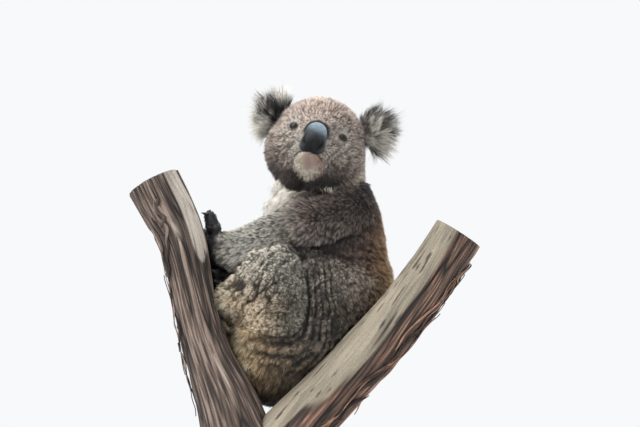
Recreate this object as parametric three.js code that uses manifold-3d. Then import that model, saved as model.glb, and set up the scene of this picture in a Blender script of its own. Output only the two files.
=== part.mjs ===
// A koala sitting in the fork of a tree, life size, on a plain display stand.
// Millimetres, +Z up. The animal faces -X and turns its head to -Y; its middle plane is Y = MID.
// The flesh is one implicit body, meshed whole and then parted into named pieces by thin cuts.

import * as THREE from 'three';
import { mergeVertices } from 'three/addons/utils/BufferGeometryUtils.js';
import Module from 'manifold-3d';

const wasm = await Module();
wasm.setup();

const v3 = (x, y, z) => new THREE.Vector3(x, y, z);
const mix = (a, b, t) => a + (b - a) * t;
const turnBy = (x, y, z) =>
  new THREE.Quaternion().setFromEuler(
    new THREE.Euler(...[x, y, z].map((degrees) => THREE.MathUtils.degToRad(degrees)), 'ZXY'),
  );

// ---------------------------------------------------------------- driving sizes
const GAP = 0.35; // between touching pieces
const MID = 60; // Y of the animal's middle plane
const SEAT = 201; // height of the rump's lowest point
const STAND_CENTRE = v3(0, 30, 0);
const FINE = 0.15; // slivers and steps smaller than this are smoothed away

const CELL = { body: 37, limb: 22, head: 20, ear: 19, nose: 11 }; // mesh sizes of the implicit surfaces
const BLEND = { torso: 26, limb: 14, head: 16, nose: 10 }; // fillet widths where forms flow together

const TORSO = {
  rump: { at: v3(-26, MID, SEAT + 97), size: v3(98, 96, 97) },
  belly: { at: v3(48, MID, 398), size: v3(103, 96, 98) },
  chest: { at: v3(48, MID - 2, 480), size: v3(89, 86, 84) },
  nape: { at: v3(49, MID - 8, 538), size: v3(69, 66, 58) },
  breast: { at: v3(0, MID - 15, 508), size: v3(56, 54, 58) },
  leftHaunch: { at: v3(24, MID - 48, 322), size: v3(76, 60, 72) },
  rightHaunch: { at: v3(24, MID + 48, 322), size: v3(76, 60, 72) },
};
const ARM = { shoulder: 49, elbow: 42, wrist: 27, palm: 19 }; // radii
const LEG = { hip: 57, knee: 50, shin: 40, ankle: 26, sole: 17 };
const DIGIT = { hand: 7.4, foot: 6.4, claw: 3.4, pitch: 2.12, clear: 2.4, hook: 2.6 };

const HEAD = { centre: v3(28.5, 22, 623.5), turn: turnBy(-12, 15, 1.5) };
const EYE = { across: 38, up: -3, radius: 8.5, depth: 6.2 };
const EAR = { back: 12, size: v3(37, 19, 53), lean: -8, flare: 22, dish: 11 };
EAR.across = { left: 85, right: 88 };
EAR.up = { left: 57, right: 40 }; // the right ear is held lower
const NOSE = { top: 1, bottom: -58, across: 19, forward: -97 };

const BASE = { width: 380, depth: 290, height: 20, corner: 26, edge: 2 };
const ROD = { radius: 8, flange: 20, flangeHeight: 5, from: -100, spacing: 66 };
const STUMP_FOOT = 88; // height of the perch's sawn underside

const COAT = { back: 0x6b625b, arm: 0x8b867c, leg: 0x8d867a, head: 0x7d7067, ear: 0x6a6763, rump: 0xa39a86 };
const BARE = { nose: 0x30383f, eye: 0x2a1a10, claw: 0x1b1a1a, paw: 0x34302e };
const PLAIN = { bark: 0x85705f, stand: 0x4a4038, rod: 0x8d8f92 };

// ---------------------------------------------------------------- the tree fork
// Stations of each limb of wood: x, y, z of its axis and its radius.
const STEM = [
  [-58, 2, 60, 66],
  [-92, 0, 140, 58],
  [-113, 0, 210, 50],
  [-142, -2, 272, 40],
  [-161, -6, 334, 35],
  [-173, -10, 397, 35],
  [-185, -14, 460, 39],
  [-202, -16, 494, 43],
  [-244, -20, 573, 45],
];
const BRANCH = [
  [-70, 2, 96, 48],
  [-22, -3, 150, 51],
  [35, -8, 206, 48],
  [95, -22, 270, 46],
  [159, -36, 340, 43],
  [218, -50, 419, 41],
  [262, -60, 488, 40],
];
const STEM_CUT = { at: v3(-232, -20, 552), along: v3(-0.47, -0.03, 0.88) };
const BRANCH_CUT = { at: v3(246, -56, 463), along: v3(0.54, -0.12, 0.83) };
const BARK_SIDES = 11;
const ridges = (angle, i) => 1 + 0.03 * Math.sin(3 * angle + i * 0.7) + 0.02 * Math.sin(5 * angle + i);

// A point beside the stem at height z: turn 0 is towards the animal, 90 the far side, -90 the near side.
// The stem leans along X, so its level section is drawn out that way.
function besideStem(z, turn, clearance) {
  let i = 1;
  while (i < STEM.length - 1 && STEM[i][2] < z) i += 1;
  const [a, b] = [STEM[i - 1], STEM[i]];
  const t = (z - a[2]) / (b[2] - a[2]);
  const radius = mix(a[3], b[3], t);
  const lean = Math.hypot(b[0] - a[0], b[2] - a[2]) / (b[2] - a[2]);
  const angle = THREE.MathUtils.degToRad(turn);
  return v3(
    mix(a[0], b[0], t) + Math.cos(angle) * (radius * lean + clearance),
    mix(a[1], b[1], t) + Math.sin(angle) * (radius + clearance),
    z,
  );
}

// ---------------------------------------------------------------- distance fields
function ball(centre, radii, turn = new THREE.Quaternion()) {
  const back = turn.clone().invert();
  const squares = radii.clone().multiply(radii);
  const q = new THREE.Vector3();
  return (p) => {
    q.copy(p).sub(centre).applyQuaternion(back);
    const scaled = Math.hypot(q.x / radii.x, q.y / radii.y, q.z / radii.z);
    const slope = Math.hypot(q.x / squares.x, q.y / squares.y, q.z / squares.z);
    return slope < 1e-9 ? -Math.min(radii.x, radii.y, radii.z) : (scaled * (scaled - 1)) / slope;
  };
}

function limb(from, to, radiusFrom, radiusTo) {
  const axis = to.clone().sub(from);
  const lengthSquared = axis.lengthSq();
  const q = new THREE.Vector3();
  return (p) => {
    q.copy(p).sub(from);
    const t = THREE.MathUtils.clamp(q.dot(axis) / lengthSquared, 0, 1);
    return q.addScaledVector(axis, -t).length() - mix(radiusFrom, radiusTo, t);
  };
}

function blended(width, ...fields) {
  return (p) =>
    fields.reduce((sum, field) => {
      const d = field(p);
      const h = Math.max(width - Math.abs(sum - d), 0) / width;
      return Math.min(sum, d) - (h * h * width) / 4;
    }, Infinity);
}

const within = (field, region) => (p) => Math.max(field(p), region(p));
const without = (field, hollow) => (p) => Math.max(field(p), -hollow(p));

// ---------------------------------------------------------------- meshing
// Moves a point onto the field's surface along its gradient.
function ontoSurface(field, point) {
  const step = 0.5;
  for (let round = 0; round < 3; round += 1) {
    const d = field(point);
    const slope = v3(
      field(point.clone().add(v3(step, 0, 0))) - d,
      field(point.clone().add(v3(0, step, 0))) - d,
      field(point.clone().add(v3(0, 0, step))) - d,
    ).divideScalar(step);
    point.addScaledVector(slope, -d / Math.max(slope.lengthSq(), 0.2));
  }
  return point;
}

// Surface nets: one vertex in each grid cell that the surface crosses, relaxed and drawn onto the surface.
function surfaceOf(field, low, high, cell, rounds = 4) {
  const n = ['x', 'y', 'z'].map((k) => Math.ceil((high[k] - low[k]) / cell) + 1);
  const at = (i, j, k) => (k * n[1] + j) * n[0] + i;
  const each = (from, spare, visit) => {
    for (let k = from; k < n[2] - spare; k += 1)
      for (let j = from; j < n[1] - spare; j += 1)
        for (let i = from; i < n[0] - spare; i += 1) visit(i, j, k);
  };
  const value = new Float64Array(n[0] * n[1] * n[2]);
  const p = new THREE.Vector3();
  each(0, 0, (i, j, k) => {
    value[at(i, j, k)] = field(p.set(i, j, k).multiplyScalar(cell).add(low));
  });

  // Inside corners set crosswise on a grid face would pinch the surface, so the nearer outside one joins in.
  const steps = [v3(1, 0, 0), v3(0, 1, 0), v3(0, 0, 1)];
  let crosswise = true;
  while (crosswise) {
    crosswise = false;
    each(0, 1, (i, j, k) => {
      steps.forEach((u, axis) => {
        const w = steps[(axis + 1) % 3];
        const face = [v3(0, 0, 0), u, u.clone().add(w), w].map((c) => at(i + c.x, j + c.y, k + c.z));
        const inside = face.map((corner) => value[corner] < 0);
        if (inside[0] !== inside[2] || inside[1] !== inside[3] || inside[0] === inside[1]) return;
        const [a, b] = face.filter((_, c) => !inside[c]);
        value[value[a] < value[b] ? a : b] = -cell * 0.01;
        crosswise = true;
      });
    });
  }

  const corners = [0, 1, 2, 3, 4, 5, 6, 7].map((c) => v3(c & 1, (c >> 1) & 1, (c >> 2) & 1));
  const edgesFrom = (c) => [1, 2, 4].filter((bit) => !(c & bit)).map((bit) => [corners[c], corners[c | bit]]);
  const edges = corners.flatMap((_, c) => edgesFrom(c));
  const vertexOf = new Map();
  const points = [];
  each(0, 1, (i, j, k) => {
    const sum = new THREE.Vector3();
    let crossings = 0;
    for (const [a, b] of edges) {
      const va = value[at(i + a.x, j + a.y, k + a.z)];
      const vb = value[at(i + b.x, j + b.y, k + b.z)];
      if (va < 0 === vb < 0) continue;
      sum.add(p.lerpVectors(a, b, va / (va - vb)));
      crossings += 1;
    }
    if (!crossings) return;
    vertexOf.set(at(i, j, k), points.length);
    points.push(sum.divideScalar(crossings).add(p.set(i, j, k)).multiplyScalar(cell).add(low));
  });

  const ring = [0, 1, 3, 2].map((c) => [c & 1, c >> 1]);
  const quads = [];
  each(1, 1, (i, j, k) => {
    steps.forEach((along, axis) => {
      const inside = value[at(i, j, k)] < 0;
      if (inside === value[at(i + along.x, j + along.y, k + along.z)] < 0) return;
      const [u, w] = [steps[(axis + 1) % 3], steps[(axis + 2) % 3]];
      const cellOf = ([a, b]) => at(i - a * u.x - b * w.x, j - a * u.y - b * w.y, k - a * u.z - b * w.z);
      const quad = ring.map((corner) => vertexOf.get(cellOf(corner)));
      quads.push(inside ? quad : quad.reverse());
    });
  });

  const neighbours = points.map(() => new Set());
  for (const quad of quads)
    quad.forEach((a, s) => {
      const b = quad[(s + 1) % 4];
      neighbours[a].add(b);
      neighbours[b].add(a);
    });
  for (let round = 0; round < rounds; round += 1) {
    const relaxed = points.map((point, i) => {
      const mean = new THREE.Vector3();
      neighbours[i].forEach((j) => mean.add(points[j]));
      return mean.divideScalar(neighbours[i].size).lerp(point, 0.4);
    });
    relaxed.forEach((point, i) => points[i].copy(ontoSurface(field, point)));
  }

  // Each quad is halved along its shorter diagonal, unless an edge already joins those two corners.
  const triangles = quads.flatMap(([a, b, c, d]) => {
    const shorter = points[a].distanceTo(points[c]) <= points[b].distanceTo(points[d]);
    const alongAC = neighbours[b].has(d) || (shorter && !neighbours[a].has(c));
    const [from, to] = alongAC ? [a, c] : [b, d];
    neighbours[from].add(to);
    neighbours[to].add(from);
    return alongAC ? [a, b, c, a, c, d] : [a, b, d, b, c, d];
  });
  return { points, triangles };
}

// Rings of a section swept through stations [x, y, z, radius], closed at both ends.
function sweep(stations, sides, lobes = () => 1) {
  const centres = stations.map(([x, y, z]) => v3(x, y, z));
  const last = centres.length - 1;
  const points = [];
  let side = v3(0.3, 1, 0.1);
  centres.forEach((centre, i) => {
    const along = centres[Math.min(i + 1, last)].clone().sub(centres[Math.max(i - 1, 0)]).normalize();
    side = side.addScaledVector(along, -side.dot(along)).normalize();
    const across = along.clone().cross(side);
    for (let s = 0; s < sides; s += 1) {
      const angle = (s / sides) * Math.PI * 2;
      const r = stations[i][3] * lobes(angle, i);
      const out = side.clone().multiplyScalar(Math.cos(angle)).addScaledVector(across, Math.sin(angle));
      points.push(out.multiplyScalar(r).add(centre));
    }
  });
  const triangles = [];
  for (let i = 0; i < last; i += 1)
    for (let s = 0; s < sides; s += 1) {
      const [a, b] = [i * sides + s, i * sides + ((s + 1) % sides)];
      triangles.push(a, b, b + sides, a, b + sides, a + sides);
    }
  for (const ring of [0, last]) {
    const middle = points.push(centres[ring].clone()) - 1;
    for (let s = 0; s < sides; s += 1) {
      const [a, b] = [ring * sides + s, ring * sides + ((s + 1) % sides)];
      triangles.push(middle, ...(ring ? [a, b] : [b, a]));
    }
  }
  return { points, triangles };
}

// A swept form through joints [at, radius]. Its far end is blunt and rounded, its near end cut square.
const BLUNT = 0.7; // how far the rounded end stands out, in radii
function pod(joints, sides) {
  const [[before], [end, radius]] = joints.slice(-2);
  const tip = end.clone().addScaledVector(end.clone().sub(before).normalize(), radius * BLUNT);
  const path = [...joints, [tip, radius * Math.sqrt(1 - BLUNT * BLUNT)]];
  return sweep(path.map(([at, r]) => [at.x, at.y, at.z, r]), sides);
}

function meshOf(geometry, place = new THREE.Matrix4()) {
  const bare = geometry.clone().applyMatrix4(place);
  bare.deleteAttribute('normal');
  bare.deleteAttribute('uv');
  const { attributes, index } = mergeVertices(bare, 1e-3);
  const at = attributes.position;
  const points = Array.from({ length: at.count }, (_, i) => new THREE.Vector3().fromBufferAttribute(at, i));
  return { points, triangles: Array.from(index.array) };
}

// ---------------------------------------------------------------- solids
function solidOf({ points, triangles }) {
  const vertProperties = new Float32Array(points.flatMap((q) => [q.x, q.y, q.z]));
  const triVerts = new Uint32Array(triangles);
  return new wasm.Manifold(new wasm.Mesh({ numProp: 3, vertProperties, triVerts }));
}

// A form, and the same form grown outwards by the gap: what the one keeps, the other cuts away.
function formOf(mesh) {
  const normals = mesh.points.map(() => new THREE.Vector3());
  for (let t = 0; t < mesh.triangles.length; t += 3) {
    const [a, b, c] = mesh.triangles.slice(t, t + 3);
    const side = mesh.points[b].clone().sub(mesh.points[a]);
    const face = side.cross(mesh.points[c].clone().sub(mesh.points[a]));
    [a, b, c].forEach((corner) => normals[corner].add(face));
  }
  const points = mesh.points.map((q, i) => q.clone().addScaledVector(normals[i].normalize(), GAP));
  return { inner: solidOf(mesh), outer: solidOf({ points, triangles: mesh.triangles }) };
}

const joined = (forms) => ({
  inner: forms.map((form) => form.inner).reduce((a, b) => a.add(b)),
  outer: forms.map((form) => form.outer).reduce((a, b) => a.add(b)),
});

// Cuts off what lies beyond a plane; a positive setback cuts that much deeper.
function trimmed(solid, { at, along }, setback = 0) {
  const inward = along.clone().normalize().negate();
  return solid.trimByPlane(inward.toArray(), inward.dot(at) + setback);
}

const flipped = ({ at, along }) => ({ at, along: along.clone().negate() });

// ---------------------------------------------------------------- the group
const part = new THREE.Group();
const figure = new THREE.Group();
figure.position.copy(STAND_CENTRE).negate();
part.add(figure);

function keep(name, solid, color, roughness = 0.95, metalness = 0) {
  const main = solid.decompose().reduce((a, b) => (a.volume() > b.volume() ? a : b));
  const mesh = main.simplify(FINE).getMesh();
  const geometry = new THREE.BufferGeometry();
  geometry.setAttribute('position', new THREE.BufferAttribute(new Float32Array(mesh.vertProperties), 3));
  geometry.setIndex(new THREE.BufferAttribute(new Uint32Array(mesh.triVerts), 1));
  const node = new THREE.Mesh(geometry, new THREE.MeshStandardMaterial({ color, roughness, metalness }));
  node.name = name;
  figure.add(node);
}

// ---------------------------------------------------------------- perch and stand
const stumpFoot = { at: v3(0, 0, STUMP_FOOT), along: v3(0, 0, -1) };
const stem = formOf(sweep(STEM, BARK_SIDES, ridges));
const branch = formOf(sweep(BRANCH, BARK_SIDES, ridges));
const wood = stem.outer.add(branch.outer);
const sawn = (solid, cut) => trimmed(trimmed(solid, cut), stumpFoot);
keep('perch_stem', sawn(stem.inner, STEM_CUT), PLAIN.bark);
keep('perch_branch', sawn(branch.inner, BRANCH_CUT).subtract(stem.outer), PLAIN.bark);

function standBase() {
  const [w, d, r] = [BASE.width / 2 - BASE.edge, BASE.depth / 2 - BASE.edge, BASE.corner];
  const plate = new THREE.Shape();
  plate.moveTo(-w + r, -d);
  plate.lineTo(w - r, -d);
  plate.absarc(w - r, -d + r, r, -Math.PI / 2, 0);
  plate.lineTo(w, d - r);
  plate.absarc(w - r, d - r, r, 0, Math.PI / 2);
  plate.lineTo(-w + r, d);
  plate.absarc(-w + r, d - r, r, Math.PI / 2, Math.PI);
  plate.lineTo(-w, -d + r);
  plate.absarc(-w + r, -d + r, r, Math.PI, Math.PI * 1.5);
  const thickness = BASE.height - 2 * BASE.edge;
  const bevel = { bevelEnabled: true, bevelThickness: BASE.edge, bevelSize: BASE.edge, bevelSegments: 1 };
  const geometry = new THREE.ExtrudeGeometry(plate, { depth: thickness, curveSegments: 3, ...bevel });
  const place = new THREE.Matrix4().setPosition(STAND_CENTRE.x, STAND_CENTRE.y, BASE.edge);
  return solidOf(meshOf(geometry, place));
}

// A rod with a round flange at each end, standing on the base and bearing on the stump's foot.
function standRod(x) {
  const [low, high] = [BASE.height + GAP, STUMP_FOOT - GAP];
  const { radius, flange, flangeHeight } = ROD;
  const profile = [
    [0, low],
    [flange, low],
    [flange, low + flangeHeight],
    [radius, low + flangeHeight + 2],
    [radius, high - flangeHeight - 2],
    [flange, high - flangeHeight],
    [flange, high],
    [0, high],
  ].map(([r, z]) => new THREE.Vector2(r, z));
  const upright = new THREE.Matrix4().makeRotationX(Math.PI / 2).setPosition(x, 0, 0);
  return solidOf(meshOf(new THREE.LatheGeometry(profile, 8), upright));
}

keep('stand_base', standBase(), PLAIN.stand, 0.5);
[1, 2].forEach((n) => keep(`stand_rod_${n}`, standRod(ROD.from + ROD.spacing * (n - 1)), PLAIN.rod, 0.35, 1));

// ---------------------------------------------------------------- the head's forms
// In the head's own frame -Y is forward, +X the animal's left and +Z up.
const onHead = (x, y, z) => v3(x, y, z).applyQuaternion(HEAD.turn).add(HEAD.centre);
const headBall = (x, y, z, rx, ry, rz) => ball(onHead(x, y, z), v3(rx, ry, rz), HEAD.turn);
const bothSides = (make) => [make(1), make(-1)];
const sideName = (s) => (s > 0 ? 'left' : 'right');

const headField = blended(
  BLEND.head,
  headBall(0, 5, 9, 74, 71, 73), // cranium
  ...bothSides((s) => headBall(s * 38, -10, -27, 47, 48, 46)), // cheeks
  headBall(0, -28, -57, 52, 50, 38), // throat and jaw
  headBall(0, -58, -34, 33, 32, 30), // muzzle
  headBall(0, -64, -9, 21, 22, 22), // bridge of the nose
  headBall(0, -62, -56, 22, 22, 16), // chin
);

const noseField = blended(
  BLEND.nose,
  headBall(0, NOSE.forward + 18, NOSE.top - 19, NOSE.across - 3, 13, 19),
  headBall(0, NOSE.forward + 18, NOSE.bottom + 21, NOSE.across, 18, 21),
);

function earField(s) {
  const turn = HEAD.turn.clone().multiply(turnBy(0, s * EAR.lean, -s * EAR.flare));
  const centre = onHead(s * EAR.across[sideName(s)], EAR.back, EAR.up[sideName(s)]);
  const front = v3(0, -EAR.size.y - EAR.dish, 0).applyQuaternion(turn).add(centre);
  const hollow = ball(front, v3(EAR.size.x * 0.75, EAR.dish * 2, EAR.size.z * 0.75), turn);
  return without(ball(centre, EAR.size, turn), hollow);
}

// How far forward the face reaches at a place beside and above the head's centre.
function faceAt(x, z) {
  let [inside, outside] = [0, -140];
  for (let round = 0; round < 24; round += 1) {
    const y = (inside + outside) / 2;
    if (headField(onHead(x, y, z)) < 0) inside = y;
    else outside = y;
  }
  return inside;
}

function eyeForm(s) {
  const centre = onHead(s * EYE.across, faceAt(s * EYE.across, EYE.up) + EYE.depth, EYE.up);
  const globe = new THREE.IcosahedronGeometry(EYE.radius, 1);
  return formOf(meshOf(globe, new THREE.Matrix4().setPosition(centre)));
}

// ---------------------------------------------------------------- joints of the limbs
// The far side is the near side's mirror image, with the paws brought to the stem.
const mirrored = (p, dx = 0, dy = 0, dz = 0) => v3(p.x + dx, 2 * MID - p.y + dy, p.z + dz);
const LEFT = {
  shoulder: v3(72, -4, 505),
  elbow: v3(6, -28, 478),
  wrist: v3(-114, 8, 446),
  palm: v3(-138, 20, 458),
  hip: v3(-26, -14, 340),
  knee: v3(-43, -34, 404),
  ankle: v3(-114, 0, 364),
  sole: v3(-132, 14, 359),
};
const RIGHT = {
  shoulder: mirrored(LEFT.shoulder),
  elbow: mirrored(LEFT.elbow, 0, 0, -4),
  wrist: mirrored(LEFT.wrist, -14, -46, -28),
  palm: v3(-152, 46, 412),
  hip: mirrored(LEFT.hip),
  knee: mirrored(LEFT.knee, 0, 0, -6),
  ankle: mirrored(LEFT.ankle, -6, -46, -40),
  sole: v3(-146, 48, 316),
};
const SIDES = [
  ['left', LEFT],
  ['right', RIGHT],
];

// The joints [at, radius] of each arm, thigh and shank, in order along it.
const armJoints = (j) => [
  [j.shoulder, ARM.shoulder],
  [j.elbow, ARM.elbow],
  [j.wrist, ARM.wrist],
  [j.palm, ARM.palm],
];
const thighJoints = (j) => [
  [j.hip, LEG.hip],
  [j.knee, LEG.knee],
];
const shankJoints = (j) => [
  [j.knee, LEG.shin],
  [j.ankle, LEG.ankle],
  [j.sole, LEG.sole],
];
const chain = (joints) =>
  blended(BLEND.limb, ...joints.slice(1).map(([at, r], i) => limb(joints[i][0], at, joints[i][1], r)));

const trunkField = blended(
  BLEND.torso,
  ...Object.values(TORSO).map(({ at, size }) => ball(at, size)),
  ...SIDES.map(([, j]) => chain(armJoints(j).slice(0, 2))),
  headField,
);
const stoutField = blended(BLEND.limb, trunkField, ...SIDES.map(([, j]) => chain(thighJoints(j))));
const bodyField = blended(
  BLEND.limb,
  stoutField,
  ...SIDES.flatMap(([, j]) => [armJoints(j).slice(1), shankJoints(j)].map(chain)),
);

// ---------------------------------------------------------------- digits and claws
// A set of digits starts at height z and turn `from`, ends at turn `to` and climbs by `rise`, each
// digit below the last. They lie on the bark, or `lift` off it. A set without `curl` has no claws.
const PAWS = {
  hand_left: [
    { names: [2, 1], z: 485, pitch: 23, from: 17, to: 12, rise: 15, lift: 14, curl: -11 },
    { names: [3, 4, 5], z: 477, from: 44, to: 112, rise: 0, curl: 12 },
  ],
  hand_right: [
    { names: [2, 1], z: 410, from: 60, to: 18, rise: 0, curl: -12 },
    { names: [3, 4, 5], z: 426, from: 74, to: 128, rise: 0, curl: 12 },
  ],
  foot_left: [
    { names: [2, 3, 4, 5], z: 382, from: 44, to: 106, rise: 0, curl: 12 },
    { names: [1], z: 338, from: 40, to: 24, rise: -14 },
  ],
  foot_right: [
    { names: [2, 3, 4, 5], z: 326, from: 74, to: 124, rise: 0, curl: 12 },
    { names: [1], z: 318, from: 66, to: 40, rise: -8 },
  ],
};
for (const [name, sets] of Object.entries(PAWS))
  for (const set of sets) {
    set.radius = name.startsWith('hand') ? DIGIT.hand : DIGIT.foot;
    set.pitch ??= set.radius * DIGIT.pitch;
    set.lift ??= set.radius + DIGIT.clear;
  }

function digitJoints(palm, set, k) {
  const z = set.z - set.pitch * k;
  const along = (t) => besideStem(z + set.rise * t, mix(set.from, set.to, t), set.lift);
  const root = palm.clone().lerp(along(0), 0.3);
  return [[root, set.radius], ...[0.1, 0.55, 1].map((t) => [along(t), set.radius * (1 - 0.1 * t)])];
}

// A claw stands on the blunt end of its digit and hooks in to the bark.
function claw(joints, set, k) {
  const [[before], [end, radius]] = joints.slice(-2);
  const along = end.clone().sub(before).normalize();
  const base = end.clone().addScaledVector(along, radius * BLUNT + GAP);
  const hook = besideStem(set.z - set.pitch * k + set.rise + 3, set.to + set.curl * 2, DIGIT.hook);
  const path = [
    [base, DIGIT.claw],
    [base.clone().addScaledVector(along, 5), DIGIT.claw * 0.8],
    [hook, 0.6],
  ];
  return sweep(path.map(([at, r]) => [at.x, at.y, at.z, r]), 4);
}

const PALMS = {
  hand_left: LEFT.palm,
  hand_right: RIGHT.palm,
  foot_left: LEFT.sole,
  foot_right: RIGHT.sole,
};
const digits = {};
const claws = [];
for (const [name, sets] of Object.entries(PAWS)) {
  const forms = [];
  for (const set of sets)
    set.names.forEach((digit, k) => {
      const joints = digitJoints(PALMS[name], set, k);
      forms.push(formOf(pod(joints, 5)));
      if (!set.curl) return;
      const hook = formOf(claw(joints, set, k));
      keep(`claw_${name}_${digit}`, hook.inner, BARE.claw, 0.35);
      claws.push(hook);
    });
  digits[name] = joined(forms);
}

// ---------------------------------------------------------------- head, ears, eyes and nose
const headRegion = headBall(0, -30, 8, 118, 134, 110);
const headCut = formOf(
  meshOf(
    new THREE.IcosahedronGeometry(1, 2),
    new THREE.Matrix4().compose(onHead(0, -30, 6), HEAD.turn, v3(110, 120, 93)),
  ),
);
const reach = v3(150, 150, 150);
const headLow = HEAD.centre.clone().sub(reach);
const headHigh = HEAD.centre.clone().add(reach);
const headWhole = formOf(surfaceOf(within(bodyField, headRegion), headLow, headHigh, CELL.head));
const nose = formOf(surfaceOf(noseField, headLow, headHigh, CELL.nose, 2));
const eyes = bothSides(eyeForm);
const features = [nose, ...eyes].map((form) => form.outer).reduce((a, b) => a.add(b));

keep('head', headWhole.inner.intersect(headCut.inner).subtract(features), COAT.head);
keep('nose', nose.inner, BARE.nose, 0.45);
bothSides((s) => s).forEach((s, k) => {
  const ear = solidOf(surfaceOf(earField(s), headLow, headHigh, CELL.ear));
  keep(`eye_${sideName(s)}`, eyes[k].inner, BARE.eye, 0.1);
  keep(`ear_${sideName(s)}`, ear.subtract(headWhole.outer), COAT.ear);
});

// ---------------------------------------------------------------- limbs and trunk
const SPARE = 7; // how far a cutting form stands clear of the limb that it takes
const low = v3(-190, -140, SEAT - 40);
const high = v3(200, 260, 740);
const allDigits = joined(Object.values(digits)).outer;
const besidePaws = wood.add(joined(claws).outer);
let taken = wood.add(headCut.outer); // what the pieces that are still to come must keep clear of
let body = solidOf(surfaceOf(stoutField, low, high, CELL.body)).subtract(taken);

// A cutting form for a limb, a little wider than it and starting a radius before its first joint.
function cutterFor(joints) {
  const [[first, radius], [second]] = joints;
  const start = first.clone().addScaledVector(second.clone().sub(first).normalize(), -radius * BLUNT);
  const path = [[start, radius * BLUNT], ...joints];
  return formOf(pod(path.map(([at, r]) => [at, r + SPARE]), 8));
}

// Takes a slender limb off the body as a finer mesh of the same field.
function takeSlender(joints) {
  const cutter = cutterFor(joints);
  const own = chain(joints);
  const around = (p) => own(p) - SPARE - CELL.limb * 1.5;
  const limbWhole = solidOf(surfaceOf(within(bodyField, around), low, high, CELL.limb));
  const piece = limbWhole.intersect(cutter.inner).subtract(taken);
  body = body.subtract(cutter.outer);
  taken = taken.add(cutter.outer);
  return piece;
}

// Splits a piece across at a joint, square to the lengths on both sides of it.
function splitAt(piece, before, joint, after, reach = 0) {
  const inLine = joint.clone().sub(before).normalize();
  const outLine = after.clone().sub(joint).normalize();
  const cut = { at: joint.clone().addScaledVector(inLine, -reach), along: inLine.clone().add(outLine) };
  return [trimmed(piece, cut, GAP), trimmed(piece, flipped(cut))];
}

function keepPaw(name, piece) {
  const others = joined(Object.keys(digits).filter((other) => other !== name).map((other) => digits[other]));
  keep(name, piece.subtract(others.outer).add(digits[name].inner).subtract(besidePaws), BARE.paw, 0.8);
}

SIDES.forEach(([side, j]) => {
  const [upperArm, rest] = splitAt(takeSlender(armJoints(j)), j.shoulder, j.elbow, j.wrist);
  const [forearm, hand] = splitAt(rest, j.elbow, j.wrist, j.palm, 14);
  const [shin, foot] = splitAt(takeSlender(shankJoints(j)), j.knee, j.ankle, j.sole, 12);
  const thighCutter = cutterFor(thighJoints(j));
  keep(`upper_arm_${side}`, upperArm, COAT.back);
  keep(`forearm_${side}`, forearm.subtract(allDigits), COAT.arm);
  keepPaw(`hand_${side}`, hand);
  keep(`thigh_${side}`, body.intersect(thighCutter.inner), COAT.leg);
  keep(`shin_${side}`, shin.subtract(allDigits), COAT.leg);
  keepPaw(`foot_${side}`, foot);
  body = body.subtract(thighCutter.outer);
});
body = body.subtract(allDigits);

const WAISTS = [
  { at: v3(43, 55, 520), along: v3(-0.12, 0, 1), above: 'neck', color: COAT.back },
  { at: v3(40, MID, 436), along: v3(0.34, 0, 0.94), above: 'chest', color: COAT.back },
  { at: v3(2, MID, 345), along: v3(0.35, 0, 0.94), above: 'abdomen', color: COAT.back },
];
WAISTS.forEach(({ above, color, ...waist }) => {
  keep(above, trimmed(body, flipped(waist)), color);
  body = trimmed(body, waist, GAP);
});
keep('rump', body, COAT.rump);

export default part;
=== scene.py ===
"""A koala in the fork of a tree, life size, on a display stand.

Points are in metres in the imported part's frame. The head's own frame and the sizes of forms are in millimetres.
"""

import math

import bmesh
import bpy
import numpy as np
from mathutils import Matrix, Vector
from mathutils.bvhtree import BVHTree
from mathutils.kdtree import KDTree


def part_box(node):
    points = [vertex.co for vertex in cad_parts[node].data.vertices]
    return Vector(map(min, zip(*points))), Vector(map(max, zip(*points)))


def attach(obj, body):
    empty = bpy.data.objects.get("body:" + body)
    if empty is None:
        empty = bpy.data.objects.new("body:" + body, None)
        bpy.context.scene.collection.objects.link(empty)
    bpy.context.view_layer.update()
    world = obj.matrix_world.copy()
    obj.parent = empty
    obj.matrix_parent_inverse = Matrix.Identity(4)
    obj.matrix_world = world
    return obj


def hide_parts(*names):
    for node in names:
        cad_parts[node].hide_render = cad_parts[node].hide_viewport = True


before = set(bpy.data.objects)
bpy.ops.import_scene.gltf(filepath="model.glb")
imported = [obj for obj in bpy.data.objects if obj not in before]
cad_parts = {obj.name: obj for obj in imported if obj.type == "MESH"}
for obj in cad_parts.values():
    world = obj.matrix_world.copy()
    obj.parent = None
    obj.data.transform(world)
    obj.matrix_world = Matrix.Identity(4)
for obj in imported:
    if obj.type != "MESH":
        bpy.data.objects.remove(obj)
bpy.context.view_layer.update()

MM = 0.001
SIDES = {"left": 1, "right": -1}
TRUNK = ["neck", "chest", "abdomen", "rump"]
EARS = [f"ear_{side}" for side in SIDES]
EYES = [f"eye_{side}" for side in SIDES]
PAWS = [f"{paw}_{side}" for side in SIDES for paw in ("hand", "foot")]
LIMBS = [f"{limb}_{side}" for side in SIDES for limb in ("upper_arm", "forearm", "thigh", "shin")]
FLESH = ["head", *EARS, *TRUNK, *LIMBS, *PAWS]
CLAWS = sorted(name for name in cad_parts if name.startswith("claw_"))
random = np.random.default_rng(20)


# ---------------------------------------------------------------- small helpers
def lengths(vectors):
    return np.linalg.norm(vectors, axis=1)


def unit(vectors):
    return vectors / np.maximum(np.linalg.norm(vectors, axis=-1, keepdims=True), 1e-9)


def level(vectors, normals, share=1):
    """The vectors without that share of their part along the normals."""
    return vectors - share * normals * (vectors * normals).sum(axis=1, keepdims=True)


def ramp(value, low, high):
    """0 at low, 1 at high, smooth between; low may be the larger."""
    t = np.clip((value - low) / (high - low), 0, 1)
    return t * t * (3 - 2 * t)


def hump(value, width):
    """1 at 0, falling away on both sides."""
    return np.exp(-((value / width) ** 2))


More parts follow.
